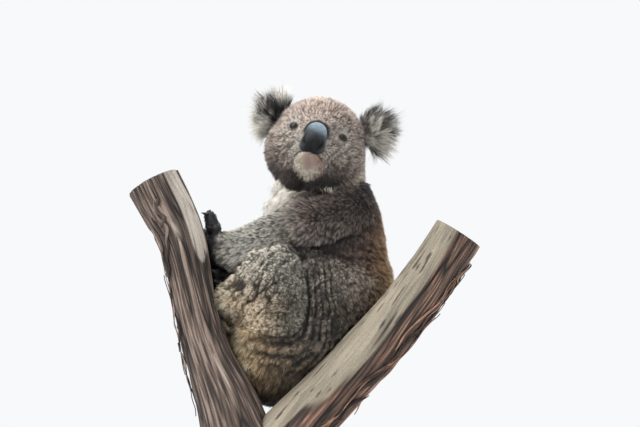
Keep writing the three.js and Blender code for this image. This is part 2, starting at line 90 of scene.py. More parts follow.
def bell(points, centre, radii):
    """1 at the centre, falling away with the radii."""
    return np.exp(-(((points - np.array(centre)) / radii) ** 2).sum(axis=1))


def tone(red, green, blue):
    """A linear colour from display values of 0 to 255."""
    shown = np.array([red, green, blue]) / 255
    return np.where(shown < 0.04045, shown / 12.92, ((shown + 0.055) / 1.055) ** 2.4)


def blend(a, b, share):
    return a + (b - a) * share


def box(node):
    return np.array([tuple(corner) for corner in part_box(node)])


def place(node, *shares):
    """A point in a CAD node's box, by its share of each side."""
    low, high = box(node)
    return low + (high - low) * np.array(shares)


def middle(node):
    return place(node, 0.5, 0.5, 0.5)


def circle(sides, first=0):
    return np.linspace(0, 2 * math.pi, sides, endpoint=False) + first


LATTICE = 32
lattice = random.random((LATTICE, LATTICE, LATTICE))


def cell_noise(p, seed):
    """Smooth noise of 0 to 1, at points counted in features."""
    p = p + seed * 7.31
    cell = np.floor(p).astype(np.int64)
    f = p - cell
    f = f * f * (3 - 2 * f)
    total = np.zeros(len(p))
    for corner in np.ndindex(2, 2, 2):
        weight = np.prod(np.where(corner, f, 1 - f), axis=1)
        i, j, k = ((cell + corner) % LATTICE).T
        total += weight * lattice[i, j, k]
    return total


def noise(points, size, seed):
    """The same, at points in metres, with features of about that size in mm."""
    return cell_noise(points / (size * MM), seed)


def valleys(u, v, across, along, seed, width):
    """Winding grooves of 0 to 1 that run along v, about so far apart."""
    value = cell_noise(np.stack([u / across, v / along, np.full(len(u), seed * 1.7)], axis=1), seed)
    return hump(value - 0.5, width)


# ---------------------------------------------------------------- meshes
def read(items, field, width, kind=np.float32):
    data = np.empty(len(items) * width, kind)
    items.foreach_get(field, data)
    return data.reshape(-1, width) if width > 1 else data


def corners_of(mesh, sides):
    """A mesh's points and its faces, all of so many sides."""
    faces = read(mesh.loops, "vertex_index", 1, np.int32).reshape(-1, sides)
    return read(mesh.vertices, "co", 3).astype(float), faces


def solid_of(node):
    """A CAD node's welded points and triangles."""
    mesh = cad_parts[node].data
    mesh.calc_loop_triangles()
    points = read(mesh.vertices, "co", 3).astype(float)
    triangles = read(mesh.loop_triangles, "vertices", 3, np.int32)
    _, first, inverse = np.unique(np.round(points / 1e-6), axis=0, return_index=True, return_inverse=True)
    return points[first], inverse.reshape(-1)[triangles]


def tree_of(points, triangles):
    return BVHTree.FromPolygons(points.tolist(), triangles.tolist())


def corner_normals(points, triangles):
    a, b, c = (points[triangles[:, i]] for i in range(3))
    faces = np.cross(b - a, c - a)
    normals = [sum(np.bincount(triangles[:, i], side, len(points)) for i in range(3)) for side in faces.T]
    return unit(np.stack(normals, axis=1))


def mesh_of(name, points, faces, colours=None):
    mesh = bpy.data.meshes.new(name)
    mesh.vertices.add(len(points))
    mesh.vertices.foreach_set("co", np.ascontiguousarray(points, np.float32).ravel())
    mesh.loops.add(faces.size)
    mesh.loops.foreach_set("vertex_index", np.ascontiguousarray(faces, np.int32).ravel())
    mesh.polygons.add(len(faces))
    mesh.polygons.foreach_set("loop_start", np.arange(0, faces.size, faces.shape[1], dtype=np.int32))
    mesh.update(calc_edges=True)
    mesh.polygons.foreach_set("use_smooth", np.ones(len(faces), bool))
    if colours is not None:
        layer = mesh.color_attributes.new("Col", "FLOAT_COLOR", "POINT")
        full = np.ones((len(colours), 4), np.float32)
        full[:, :3] = np.clip(colours, 0, 1)
        layer.data.foreach_set("color", full.ravel())
    return mesh


def object_of(name, content):
    obj = bpy.data.objects.new(name, content)
    bpy.context.scene.collection.objects.link(obj)
    return obj


def piece(mesh, material, body_slot, *nodes):
    """Links a piece that rides on the part's one body and stands for the given CAD nodes."""
    obj = object_of(mesh.name, mesh)
    mesh.materials.append(material)
    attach(obj, "root")
    if nodes:
        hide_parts(*nodes)


def gathered(parts):
    """Several surfaces as one: each is its points, its faces, and then anything else with a row to a point."""
    offsets = np.cumsum([0] + [len(part[0]) for part in parts])
    faces = np.concatenate([part[1] + shift for part, shift in zip(parts, offsets)])
    points, *more = (np.concatenate([part[k] for part in parts]) for k in range(len(parts[0])) if k != 1)
    return points, faces, *more


def ring_quads(count, sides):
    """Quads between closed rings of points."""
    ring, side = np.meshgrid(np.arange(count - 1), np.arange(sides), indexing="ij")
    a, b = ring * sides + side, ring * sides + (side + 1) % sides
    return np.stack([a, b, b + sides, a + sides], axis=-1).reshape(-1, 4)


def tube(rings):
    """A closed surface through rings of points of an even number of sides, capped by fans of thin quads."""
    count, sides = rings.shape[:2]
    ends = []
    for first, turn in ((0, 1), ((count - 1) * sides, -1)):
        corners = first + np.arange(sides)[::-turn]
        ends += [[corners[0], *corners[i : i + 3]] for i in range(1, sides - 2, 2)]
    return rings.reshape(-1, 3), np.concatenate([ring_quads(count, sides), np.array(ends)])


def turned(centre, profile, sides):
    """A tube about an upright line: its rings' radii in metres and heights in mm."""
    turn = circle(sides)
    x, y = centre[0] + np.outer(profile[:, 0], np.cos(turn)), centre[1] + np.outer(profile[:, 0], np.sin(turn))
    return tube(np.stack([x, y, np.repeat(centre[2] + profile[:, 1:] * MM, sides, axis=1)], axis=2))


def remeshed(points, faces, voxel):
    """One closed surface of quads around all the given closed shells."""
    obj = object_of("remesh", mesh_of("remesh", points, faces))
    remesh = obj.modifiers.new("remesh", "REMESH")
    remesh.mode = "VOXEL"
    remesh.voxel_size = voxel
    surface = corners_of(obj.evaluated_get(bpy.context.evaluated_depsgraph_get()).to_mesh(), 4)
    bpy.data.objects.remove(obj)
    return surface


def refined(points, faces, chosen):
    """The surface in triangles, with the chosen faces halved each way."""
    mesh = mesh_of("refine", points, faces)
    bm = bmesh.new()
    bm.from_mesh(mesh)
    bm.faces.ensure_lookup_table()
    edges = {edge for index in np.flatnonzero(chosen) for edge in bm.faces[index].edges}
    bmesh.ops.subdivide_edges(bm, edges=list(edges), cuts=1, use_grid_fill=True)
    bmesh.ops.triangulate(bm, faces=bm.faces[:])
    bm.to_mesh(mesh)
    bm.free()
    return corners_of(mesh, 3)


class Net:
    """The edges of a surface, to average values over each point's neighbours."""

    def __init__(self, faces):
        sides = faces.shape[1]
        pairs = np.concatenate([faces[:, [i, (i + 1) % sides]] for i in range(sides)])
        self.edges = np.unique(np.sort(pairs, axis=1), axis=0)
        self.count = int(faces.max()) + 1
        self.degree = np.maximum(np.bincount(self.edges.ravel(), minlength=self.count), 1)

    def mean(self, values):
        a, b = self.edges.T
        sums = [np.bincount(a, row[b], self.count) + np.bincount(b, row[a], self.count) for row in values.T]
        return np.stack(sums, axis=1) / self.degree[:, None]

    def spread(self, values, rounds):
        for _ in range(rounds):
            values = (values + self.mean(values)) / 2
        return values

    def fair(self, points, strength, rounds):
        """Smooths without shrinking: each step in is followed by a step out."""
        for _ in range(rounds):
            for share in (0.5, -0.52):
                points = points + (self.mean(points) - points) * (share * strength)[:, None]
        return points


# ---------------------------------------------------------------- the head's frame
# In the head's own frame -Y is forward, +X the animal's left and +Z up, from the middle of the cranium.
EYE_FORWARD = 52 * MM
EYE_DROP = 3 * MM
NOSE_LEAN = math.radians(47.8)  # of the line from the nose up to between the eyes, from upright


def head_frame():
    eyes = [Vector(middle(eye)) for eye in EYES]
    brow = (eyes[0] + eyes[1]) / 2
    across = (eyes[0] - eyes[1]).normalized()
    rise = brow - Vector(middle("nose"))
    rise = (rise - across * rise.dot(across)).normalized()
    back = rise.cross(across)
    up = rise * math.cos(NOSE_LEAN) - back * math.sin(NOSE_LEAN)
    back = rise * math.sin(NOSE_LEAN) + back * math.cos(NOSE_LEAN)
    turn = np.array([across, back, up]).T
    return turn, np.array(brow) + turn @ np.array([0, EYE_FORWARD, EYE_DROP])


HEAD_TURN, HEAD_CENTRE = head_frame()


def to_head(points):
    return (points - HEAD_CENTRE) @ HEAD_TURN / MM


def from_head(own):
    return np.asarray(own) * MM @ HEAD_TURN.T + HEAD_CENTRE


# ---------------------------------------------------------------- materials
def shader(name, roughness, **more):
    """A material's node tree and its principled shader, with the material itself."""
    material = bpy.data.materials.new(name)
    material.use_nodes = True
    principled = material.node_tree.nodes["Principled BSDF"]
    for socket, value in {"Roughness": roughness, **more}.items():
        principled.inputs[socket.replace("_", " ")].default_value = value
    return material, material.node_tree, principled


def add_node(tree, kind, **inputs):
    node = tree.nodes.new(kind)
    for socket, value in inputs.items():
        node.inputs[socket.replace("_", " ")].default_value = value
    return node


def texture(tree, scale, stretch=(1, 1, 1), detail=4.0):
    """Noise in the object's own metres, drawn out along any axis of a small stretch."""
    where = add_node(tree, "ShaderNodeTexCoord")
    mapping = add_node(tree, "ShaderNodeMapping", Scale=stretch)
    tree.links.new(where.outputs["Object"], mapping.inputs["Vector"])
    grain = add_node(tree, "ShaderNodeTexNoise", Scale=scale, Detail=detail)
    tree.links.new(mapping.outputs["Vector"], grain.inputs["Vector"])
    return grain.outputs["Fac"]


def spread_over(tree, value, target, **limits):
    """Feeds the target socket with the value, run out over the limits."""
    spread = add_node(tree, "ShaderNodeMapRange", **limits)
    tree.links.new(value, spread.inputs["Value"])
    tree.links.new(spread.outputs["Result"], target)


def bump(tree, principled, height, strength):
    relief = add_node(tree, "ShaderNodeBump", Strength=strength, Distance=MM)
    tree.links.new(height, relief.inputs["Height"])
    tree.links.new(relief.outputs["Normal"], principled.inputs["Normal"])


def grained(name, roughness, low, high, relief, scale, stretch=(1, 1, 1), detail=6.0, **more):
    """A surface whose colour runs between two with its grain, and its bump too."""
    material, tree, principled = shader(name, roughness, **more)
    grain = texture(tree, scale, stretch, detail)
    mixer = add_node(tree, "ShaderNodeMix")
    mixer.data_type = "RGBA"
    mixer.inputs["A"].default_value = (*low, 1)
    mixer.inputs["B"].default_value = (*high, 1)
    tree.links.new(grain, mixer.inputs["Factor"])
    tree.links.new(mixer.outputs["Result"], principled.inputs["Base Color"])
    bump(tree, principled, grain, relief)
    return material


def coloured(name, roughness, grain, relief, scale, rough_range=None, **more):
    """A surface of its points' own colours, with a fine mottle of light and dark, and bump."""
    material, tree, principled = shader(name, roughness, **more)
    paint = add_node(tree, "ShaderNodeAttribute")
    paint.attribute_name = "Col"
    mottle = texture(tree, scale)
    multiply = add_node(tree, "ShaderNodeVectorMath")
    multiply.operation = "SCALE"
    tree.links.new(paint.outputs["Color"], multiply.inputs[0])
    spread_over(tree, mottle, multiply.inputs["Scale"], To_Min=1 - grain, To_Max=1 + grain)
    tree.links.new(multiply.outputs["Vector"], principled.inputs["Base Color"])
    if rough_range:
        low, high = rough_range
        spread_over(tree, mottle, principled.inputs["Roughness"], To_Min=low, To_Max=high)
    if relief:
        bump(tree, principled, mottle, relief)
    return material


# ---------------------------------------------------------------- camera, light and floor
CAMERA = {"at": (0.032, -2.1843, 0.060), "look": (0.032, -0.030, 0.5061), "lens": 77.34}
LAMPS = {  # place, width, power and colour
    "sky": ((-0.6, -0.5, 3.2), 2.6, 95, (1, 1, 1)),
    "key": ((-2.4, -1.9, 2.3), 1.3, 42, (1, 0.97, 0.92)),
    "rim": ((1.7, 1.9, 2.2), 1.8, 45, (0.95, 0.98, 1)),
}
LIT = (0, 0, 0.45)
SKY = (0.97, 0.985, 1.0, 1)
SKY_STRENGTH = {"From_Min": 0.45, "From_Max": 1.0, "To_Min": 0.96, "To_Max": 1.5}  # brighter towards the zenith
FLOOR_HALF, FLOOR_PAINT = 8, np.array([0.76, 0.77, 0.78])


def aimed(name, content, at, look):
    obj = object_of(name, content)
    obj.location = at
    obj.rotation_euler = (Vector(look) - Vector(at)).to_track_quat("-Z", "Y").to_euler()
    return obj


def stage():
    camera = aimed("camera", bpy.data.cameras.new("camera"), CAMERA["at"], CAMERA["look"])
    camera.data.lens = CAMERA["lens"]
    camera.data.sensor_width = 36
    camera.data.clip_end = 50
    bpy.context.scene.camera = camera

    corners = np.array([[-1, -1, 0], [1, -1, 0], [1, 1, 0], [-1, 1, 0.0]]) * FLOOR_HALF
    floor = object_of("floor", mesh_of("floor", corners, np.array([[0, 1, 2, 3]])))
    floor.data.materials.append(grained("floor_paint", 0.85, FLOOR_PAINT * 0.95, FLOOR_PAINT, 0.05, 3.0))

    world = bpy.data.worlds.new("studio")
    world.use_nodes = True
    tree = world.node_tree
    where, height = add_node(tree, "ShaderNodeTexCoord"), add_node(tree, "ShaderNodeSeparateXYZ")
    tree.links.new(where.outputs["Generated"], height.inputs["Vector"])
    background = tree.nodes["Background"]
    background.inputs["Color"].default_value = SKY
    spread_over(tree, height.outputs["Z"], background.inputs["Strength"], **SKY_STRENGTH)
    bpy.context.scene.world = world

    for name, (at, size, power, colour) in LAMPS.items():
        light = bpy.data.lights.new(name, "AREA")
        light.size, light.energy, light.color = size, power, colour
        aimed(name, light, at, LIT)
    bpy.context.scene.view_settings.view_transform = "Standard"


# ---------------------------------------------------------------- the skin
SKIN_VOXEL = 2.8 * MM
OVERLAP = 0.8 * MM  # how far the pieces are grown so that they meet across the cuts
EAR_SHARE = 0.64  # of the ear's reach that is flesh; the rest is fringe
PALM = {"hand": ("forearm", 22), "foot": ("shin", 40)}  # how far the fur of which node runs on over each paw
FAR_PALM = 1.4  # times as far on the far side

# The coat of each node: length and width of a tuft in mm, its lift from the skin in degrees, tufts to a square
# centimetre, and its colour.
COAT = {
    "head": (7.5, 0.95, 34, 118, (184, 167, 156)),
    "ear": (9.0, 1.0, 24, 80, (84, 80, 78)),
    "neck": (13.0, 1.2, 36, 90, (80, 69, 66)),
    "chest": (10.5, 1.15, 38, 100, (106, 90, 82)),
    "abdomen": (8.5, 1.1, 40, 110, (168, 156, 144)),
    "rump": (13.0, 1.25, 36, 80, (104, 91, 73)),
    "upper_arm": (10.0, 1.1, 38, 105, (110, 97, 90)),
    "forearm": (8.5, 1.1, 38, 110, (192, 190, 181)),
    "thigh": (6.5, 1.1, 42, 115, (158, 154, 143)),
    "shin": (8.0, 1.1, 38, 105, (176, 168, 148)),
    "hand": (7.0, 1.1, 30, 90, (160, 156, 146)),
    "foot": (7.0, 1.1, 30, 90, (220, 204, 172)),
}
LENGTH, WIDTH, LIFT, DENSITY, COLOUR = range(5)
STAND_OUT = 0.62  # a tuft's height over the skin, as a share of its length times the sine of its lift

# In the head's frame: the nose's forms and the chin, each a centre and radii.
NOSE_FORMS = [((0, -79, -18), (17, 13, 19)), ((0, -79, -35), (17.8, 18, 21))]
NOSE_FORMS += [((side * 8.5, -78, -44), (9, 15, 12.5)) for side in (1, -1)]
NOSE_BLEND = 9
NOSE_MIDDLE, NOSE_REACH = (0, -79, -32), 60
CHIN = (1, -70, -69), (22, 40, 17.5)
MUZZLE, MUZZLE_STRETCH = (0, -78, -34), (1, 0.8, 0.9)
EYE_AXIS = np.array([0.50, -0.86, -0.06])  # of the animal's left eye
LID_WIDTH, LID_HEIGHT, LID_THICK = 6.2, 4.5, 0.9
FAR_FROM_LID = 9.0
# Brows, pouches, the hollow between the eyes and the lips, on both sides: height, x, z and their radii.
FACE_FORMS = [
    (2.4, 34, 10, 15, 6),
    (1.6, 36, -16, 11, 4),
    (-1.6, 0, 16, 10, 10),
    (2.0, 19, -46, 8, 8),
    (-2.2, 29, -44, 4, 13),
    (-1.4, 24, -12, 6, 10),
]
THIGH_REACH = 50  # the millimetres to a whole step outwards from the near thigh's outline
FOLD_SPACING = 10
FOLD_SLOPE = math.radians(49)  # of the wrinkles across the thigh's front


def kind_of(node):
    return node.removesuffix("_left").removesuffix("_right")


def nose_field(own):
    """The distance outside the nose, at points in the head's frame."""
    total = None
    for centre, radii in NOSE_FORMS:
        q = (own - np.array(centre)) / radii
        scaled = lengths(q)
        field = scaled * (scaled - 1) / np.maximum(lengths(q / radii), 1e-9)
        if total is None:
            total = field
        h = np.maximum(NOSE_BLEND - np.abs(total - field), 0) / NOSE_BLEND
        total = np.minimum(total, field) - h * h * NOSE_BLEND / 4 * (total is not field)
    return total


def eye_view(points, side):
    """Points as seen along an eye's axis: across, up and out from the globe's centre, the lids' own radius, and
    the three directions."""
    axis = unit(HEAD_TURN @ (EYE_AXIS * [SIDES[side], 1, 1]))
    across = unit(np.cross(HEAD_TURN[:, 2], axis))
    turn = np.array([across, np.cross(axis, across), axis])
    x, y, out = turn @ (points - middle(f"eye_{side}")).T / MM
    return x, y, out, np.hypot(x / LID_WIDTH, y / LID_HEIGHT), turn


def eye_radius(side):
    return np.ptp(box(f"eye_{side}")[:, 0]) / 2 / MM


def ear_base(side):
    """Where an ear grows from the head: the middle of its part that is nearest the head's axis."""
    own = to_head(solid_of(f"ear_{side}")[0])
    inner = own[np.abs(own[:, 0]) < np.abs(own[:, 0]).min() + 22]
    return from_head(inner.mean(axis=0) * (0.82, 1, 0.86))


def flesh_source(node):
    points, triangles = solid_of(node)
    if node in EARS:
        base = ear_base(node.removeprefix("ear_"))
        points = base + (points - base) * EAR_SHARE
    return points + corner_normals(points, triangles) * OVERLAP, triangles


def nearest_nodes(points, sources):
    """For each point the index, in FLESH, of the node that it lies on."""
    owner = np.repeat(np.arange(len(sources)), [len(triangles) for _, triangles in sources])
    tree = tree_of(*gathered(sources))
    return owner[[tree.find_nearest(point)[2] for point in points.tolist()]]


class Skin:
    """The flesh as one surface, with how far each point belongs to each node."""

    def __init__(self):
        sources = [flesh_source(node) for node in FLESH]
        shells = gathered(sources + [solid_of(node) for node in ("nose", *EYES)])
        points, quads = remeshed(*shells, SKIN_VOXEL)
        net = Net(quads)
        self.share = net.spread(np.eye(len(FLESH))[nearest_nodes(points, sources)], 12)
        paws, ears = self.weight(*PAWS), self.weight(*EARS)
        points = net.fair(points, 1 - paws * 0.85, 14)
        points = net.fair(points, np.clip(1 - paws - ears * 0.6, 0, 1), 70)

        # Finer faces on the face and on the near thigh and flank, and finest round the eyes.
        centres = points[quads].mean(axis=1)
        x, y, z = to_head(centres).T
        fine = (y < -18) & (np.abs(x) < 64) & (np.abs(z + 24) < 60)
        low, high = box("thigh_left")
        inside = (centres > low - 22 * MM) & (centres < high + np.array([66, -55, 8]) * MM)
        points, triangles = refined(points, quads, fine | inside.all(axis=1))
        centres = points[triangles].mean(axis=1)
        gaps = np.min([lengths(centres - middle(eye)) for eye in EYES], axis=0)
        self.points, self.triangles = refined(points, triangles, gaps < 15 * MM)
        self.net = Net(self.triangles)
        self.owner = nearest_nodes(self.points, sources)
        self.share = self.net.spread(np.eye(len(FLESH))[self.owner], 14)
        self.normals = corner_normals(self.points, self.triangles)
        self.own = to_head(self.points)
        self.measure()
        self.sculpt()
        self.normals = corner_normals(self.points, self.triangles)

    def weight(self, *nodes):
        return sum(self.share[:, FLESH.index(node)] for node in nodes)

    def coat(self, column):
        return self.share @ np.array([COAT[kind_of(node)][column] for node in FLESH])

    def measure(self):
        """The masks that the shape, the markings and the coat share."""
        x, y, z = self.own.T
        # The head's coat runs down to the jaw, which is lower than the cut between head and neck.
        jaw = np.hypot((x - 8) / 83, (z + 14) / 88)
        taken = ramp(jaw, 1.04, 0.96) * ramp(y, 30, 10) * ramp(self.weight("head", "neck", "chest"), 0.3, 0.7)
        self.share = self.share * (1 - taken)[:, None]
        self.share[:, FLESH.index("head")] += 1 - self.share.sum(axis=1)
        self.part_thigh()
        self.ruff = hump(jaw - 0.965, 0.05) * ramp(x, 22, 58) * ramp(y, 22, 0)
        self.ruff = self.ruff * self.weight("head", "neck", "chest") * (z < -30)

        self.off_nose = nose_field(self.own)
        self.off_lid = np.full(len(x), FAR_FROM_LID)
        for side in SIDES:
            _, _, out, lid, _ = eye_view(self.points, side)
            self.off_lid = np.minimum(self.off_lid, np.where(out > 0, lid, FAR_FROM_LID))
        self.off_chin = lengths((self.own - np.array(CHIN[0])) / CHIN[1])
        chin = ramp(self.off_chin, 1.15, 0.85)
        self.face = self.weight("head") * ramp(lengths((self.own - np.array(MUZZLE)) * MUZZLE_STRETCH), 92, 22)
        self.bare_paw = np.zeros(len(x))
        for side in SIDES:
            for paw, (wrist, reach) in PALM.items():
                tree = tree_of(*solid_of(f"{wrist}_{side}"))
                mine = np.flatnonzero(self.weight(f"{paw}_{side}") > 0.02)
                gaps = np.array([tree.find_nearest(point)[3] for point in self.points[mine].tolist()]) / MM
                gaps = gaps + 11 * (noise(self.points[mine], 7, 9) - 0.5)
                reach = reach * (FAR_PALM if side == "right" else 1)
                self.bare_paw[mine] += ramp(gaps, reach * 0.8, reach * 1.2)
        self.bare_paw = np.clip(self.bare_paw, 0, 1) * self.weight(*PAWS)
        self.measure_folds()

        # How long, wide, raised and close the tufts are at each point.
        length = self.coat(LENGTH) * (1 - 0.5 * self.face)
        length = length * (1 - 0.45 * ramp(self.off_lid, 3.4, 1.6)) * (1 - 0.5 * chin)
        ears = sum(hump(lengths(self.points - ear_base(side)), 34 * MM) for side in SIDES)
        length = length + self.weight("head") * (12 * ears + 4 * ramp(jaw, 0.84, 1.0))
        self.length = length * (1 - 0.55 * self.folded) * (1 - 0.55 * self.bare_paw)
        self.width = self.coat(WIDTH) * (1 - 0.2 * self.face)
        self.lift = self.coat(LIFT) * (1 - 0.25 * self.face)
        self.chin = chin
        nude = np.maximum(ramp(self.off_lid, 1.6, 1.3), ramp(self.off_nose, 1.6, 0.8))
        density = self.coat(DENSITY) * (1 - nude) * (1 - 0.75 * self.bare_paw) * (1 + 0.35 * self.face)
        density = density * (1 - 0.92 * self.fold) * (1 + 0.5 * self.folded)
        self.density = density * (1 - 0.9 * ramp(self.off_chin, 0.8, 0.55))

    def part_thigh(self):
        """Sets the near thigh off from the flank and rump along one smooth outline."""
        x, _, z = (self.points - place("thigh_left", 0.48, 0, 0.54)).T / MM
        beside = x + 0.12 * z
        across = np.where(beside > 0, 43, 88)  # the outline is open to the left, towards the knee
        upright, square = np.where(z > 0, 79, 74), np.where(z > 0, 2.8, 2.2)
        self.thigh_off = (np.abs(beside / across) ** square + np.abs(z / upright) ** square) ** (1 / square) - 1
        self.thigh_angle = np.arctan2(z, x)
        self.near = ramp(self.points[:, 1] / MM, -26, -44)
        degrees = np.degrees(self.thigh_angle)
        self.sector = ramp(degrees, -138, -92) * ramp(degrees, 78, 62)
        thigh, *trunk = (FLESH.index(node) for node in ("thigh_left", "chest", "abdomen", "rump"))
        inside = ramp(self.thigh_off, 0.05, -0.05)
        for node in trunk:
            moved = self.share[:, node] * inside * self.near
            self.share[:, node] -= moved
            self.share[:, thigh] += moved
        moved = self.share[:, thigh] * (1 - inside) * self.near * self.sector
        high = ramp(self.points[:, 2] / MM, 300, 350)
        self.share[:, thigh] -= moved
        for node, part in zip(trunk[1:], (high, 1 - high)):
            self.share[:, node] += moved * part

    def measure_folds(self):
        """The loose folds about the near thigh: arcs round its lower end, and wrinkles across its front."""
        points, near = self.points, self.near
        x, _, z = points.T / MM
        thigh, flank = self.weight("thigh_left", "shin_left"), self.weight("abdomen", "rump", "chest")
        reach, degrees = self.thigh_off * THIGH_REACH, np.degrees(self.thigh_angle)
        self.rim = hump(reach, 3.4) * self.sector * near
        far = blend(34, 74, ramp(degrees, -92, -50))
        fan = ramp(degrees, -150, -88) * ramp(degrees, 55, 25) * ramp(reach / far, 1.0, 0.6)
        fan = fan * ramp(reach, -2, 3) * near * flank
        phase = (reach + 6 * noise(points, 30, 1) + 2.5 * noise(points, 11, 2)) / FOLD_SPACING
        arcs = hump(phase - np.round(phase), 0.29) * ramp(noise(points, 24, 3), 0.12, 0.3)
        arcs = np.maximum(arcs, 0.7 * valleys(reach, self.thigh_angle * 70, 6.5, 28, 4, 0.12)) * fan
        # Under the elbow the arm's loose skin hangs over the flank.
        beside, _, above = (points - place("upper_arm_left", 0.14, 0, 0.08)).T / MM
        sag = above - 0.0042 * beside**2
        span = ramp(beside, -24, -12) * ramp(beside, 92, 50) * near
        self.elbow = hump(sag, 4.2) * span
        self.over_elbow = ramp(sag, 0, 7) * ramp(sag, 42, 14) * span
        self.under_elbow = ramp(sag, 0, -4) * ramp(sag, -24, -8) * span

        u = x * math.sin(FOLD_SLOPE) - z * math.cos(FOLD_SLOPE)
        v = x * math.cos(FOLD_SLOPE) + z * math.sin(FOLD_SLOPE)
        front_x, _, front_z = place("thigh_left", 0.14, 0, 0.58) / MM
        front = ramp(np.hypot((x - front_x) / 44, (z - front_z) / 54), 1.3, 0.7) * thigh * near
        wrinkles = valleys(u, v, 6.5, 24, 5, 0.14) * front
        cells = valleys(u, v, 5, 9, 6, 0.11) * near * np.clip(0.75 * thigh + flank * ramp(z, 250, 310), 0, 1)
        self.fold = np.clip(np.maximum.reduce([arcs, wrinkles, 0.8 * cells, self.rim, self.elbow]), 0, 1)
        self.folded = np.clip(np.maximum.reduce([fan, front, 0.7 * thigh * near, 0.4 * flank * near]), 0, 1)

    def sculpt(self):
        """Draws the skin in by the coat's depth and models its folds."""
        points, own, near_hand = self.points, self.own, self.weight("hand_left") * self.bare_paw
        x, y, z = own.T
        side, head, lid = np.abs(x), self.weight("head"), self.off_lid
        rise = -self.length * np.sin(np.radians(self.lift)) * STAND_OUT * (1 - self.bare_paw)
        rise = rise * (1 - 0.7 * ramp(lid, 2.6, 1.4)) + self.bare_paw + 2 * near_hand

        def form(x, z, rx, rz):
            return np.exp(-(((side - x) / rx) ** 2) - ((own[:, 2] - z) / rz) ** 2)

        # The face: its forms, furrowed cheeks, rings round the lids, mouth and a freckle.
        front = ramp(y, -10, -34) * head
        face = sum(height * form(*at) for height, *at in FACE_FORMS)
        cheek = np.clip(1.5 * form(46, -30, 20, 30), 0, 1) * front
        self.furrow = valleys(x * 0.92 - z * 0.39, z, 6.5, 24, 7, 0.13) * cheek
        cells = valleys(x, z, 5.5, 7, 8, 0.11) * head
        self.furrow = np.maximum(self.furrow, 0.45 * cells * ramp(lid, 1.6, 2.6) * (1 - self.chin))
        rings = -((1 - np.abs(np.sin(np.pi * (lid - 1) * 1.5))) ** 2.5) * ramp(lid, 3.0, 2.2) * ramp(lid, 1.1, 1.3)
        self.mouth = hump(z + 54 + 7 * (side / 21) ** 2, 1.7) * ramp(side, 25, 20) * (y < -50) * head
        self.freckle = bell(own, (-37, -57.6, -20), 2.4)
        face = face - 3.2 * self.furrow + 0.6 * rings - 2.6 * self.mouth - 1.2 * self.freckle
        rise = rise + face * front - 6 * bell(own, (-74, -18, -38), (22, 40, 30)) * head
        rise = rise - 3 * bell(own, (92, 0, -30), (26, 50, 34))

        # The trunk: creases where limbs meet it, and loose folds about the near thigh.
        trunk, limbs = self.weight(*TRUNK), self.weight(*LIMBS)
        jaw = 4 * head * (1 - head - self.weight(*EARS)) * ramp(y, 40, 10)
        self.meet = np.maximum(4 * trunk * limbs * (1 - self.sector * self.near * (np.abs(self.thigh_off) < 0.4)), jaw)
        edge = self.thigh_off * THIGH_REACH
        bank = np.where(edge > 0, -8 * np.exp(-edge / 13), 3.5 * ramp(edge, -26, -5))
        bank = bank * self.sector * self.near * np.clip(trunk + self.weight("thigh_left"), 0, 1)
        rise = rise - 7 * ramp(self.meet, 0.35, 1.0) - 6.5 * self.fold + bank
        rise = rise + 4.5 * self.over_elbow - 3.5 * self.under_elbow
        rise = rise + 1.4 * (noise(points, 9, 5) - 0.5) * (trunk + limbs)

        # The near hand's knuckles, with a cleft between two digits.
        up = (points[:, 2] - place("hand_left", 0.7, 0, 0.655)[2]) / MM
        knuckles = [place("hand_left", 0.66, 0.17, 0.77), place("hand_left", 0.71, 0.17, 0.54)]
        pads = sum(bell(points / MM, knuckle / MM, (13, 30, 7.5)) for knuckle in knuckles)
        rise = rise + (3.5 * pads - 4.5 * hump(up, 2.5) * ramp(up, 30, 20)) * near_hand

        # Under the nose the skin sinks out of sight, and round the eyes it forms the lids.
        rise = blend(rise, -2.6, ramp(self.off_nose, 2.6, 0.9) * (y < -55))
        self.points = points + self.normals * (rise * MM)[:, None]
        for eye in SIDES:
            self.form_lids(eye)

    def form_lids(self, side):
        x, y, out, lid, turn = eye_view(self.points, side)
        globe, r = eye_radius(side), np.hypot(x, y)
        over = np.sqrt((globe + LID_THICK) ** 2 - np.minimum(r, 7.6) ** 2) - np.maximum(r - 7.6, 0) * 0.45
        margin = 0.3 * hump(lid - 1.12, 0.1) - 0.4 * hump(lid - 1.4, 0.1)
        under = np.sqrt(np.maximum((globe - 0.4) ** 2 - r**2, 0)) - 1.6
        shift = (np.where(lid < 1, under, over + margin) - out) * ramp(r, 14.5, 8.2) * (out > 0)
        self.points = self.points + turn[2] * (shift * MM)[:, None]


# ---------------------------------------------------------------- markings
LEATHER = tone(26, 25, 26)
# Patches of the face: its sides painted, share, centre, radii and colour.
FACE_PATCHES = [
    ("both", 0.8, (0, -40, 50), (46, 50, 34), (182, 160, 144)),
    ("both", 0.35, (60, -20, 10), (22, 40, 40), (150, 134, 130)),
    ("both", 0.75, (46, -44, -24), (25, 40, 26), (228, 214, 199)),
    # painted shade beneath the cheeks, by the chin
    ("both", 0.6, (52, -40, -62), (26, 46, 18), (118, 104, 97)),
    ("one", 1, (-27, -70, -42), (10, 26, 18), (236, 232, 218)),
    ("one", 0.65, (25, -76, -36), (7, 20, 16), (206, 200, 188)),
]


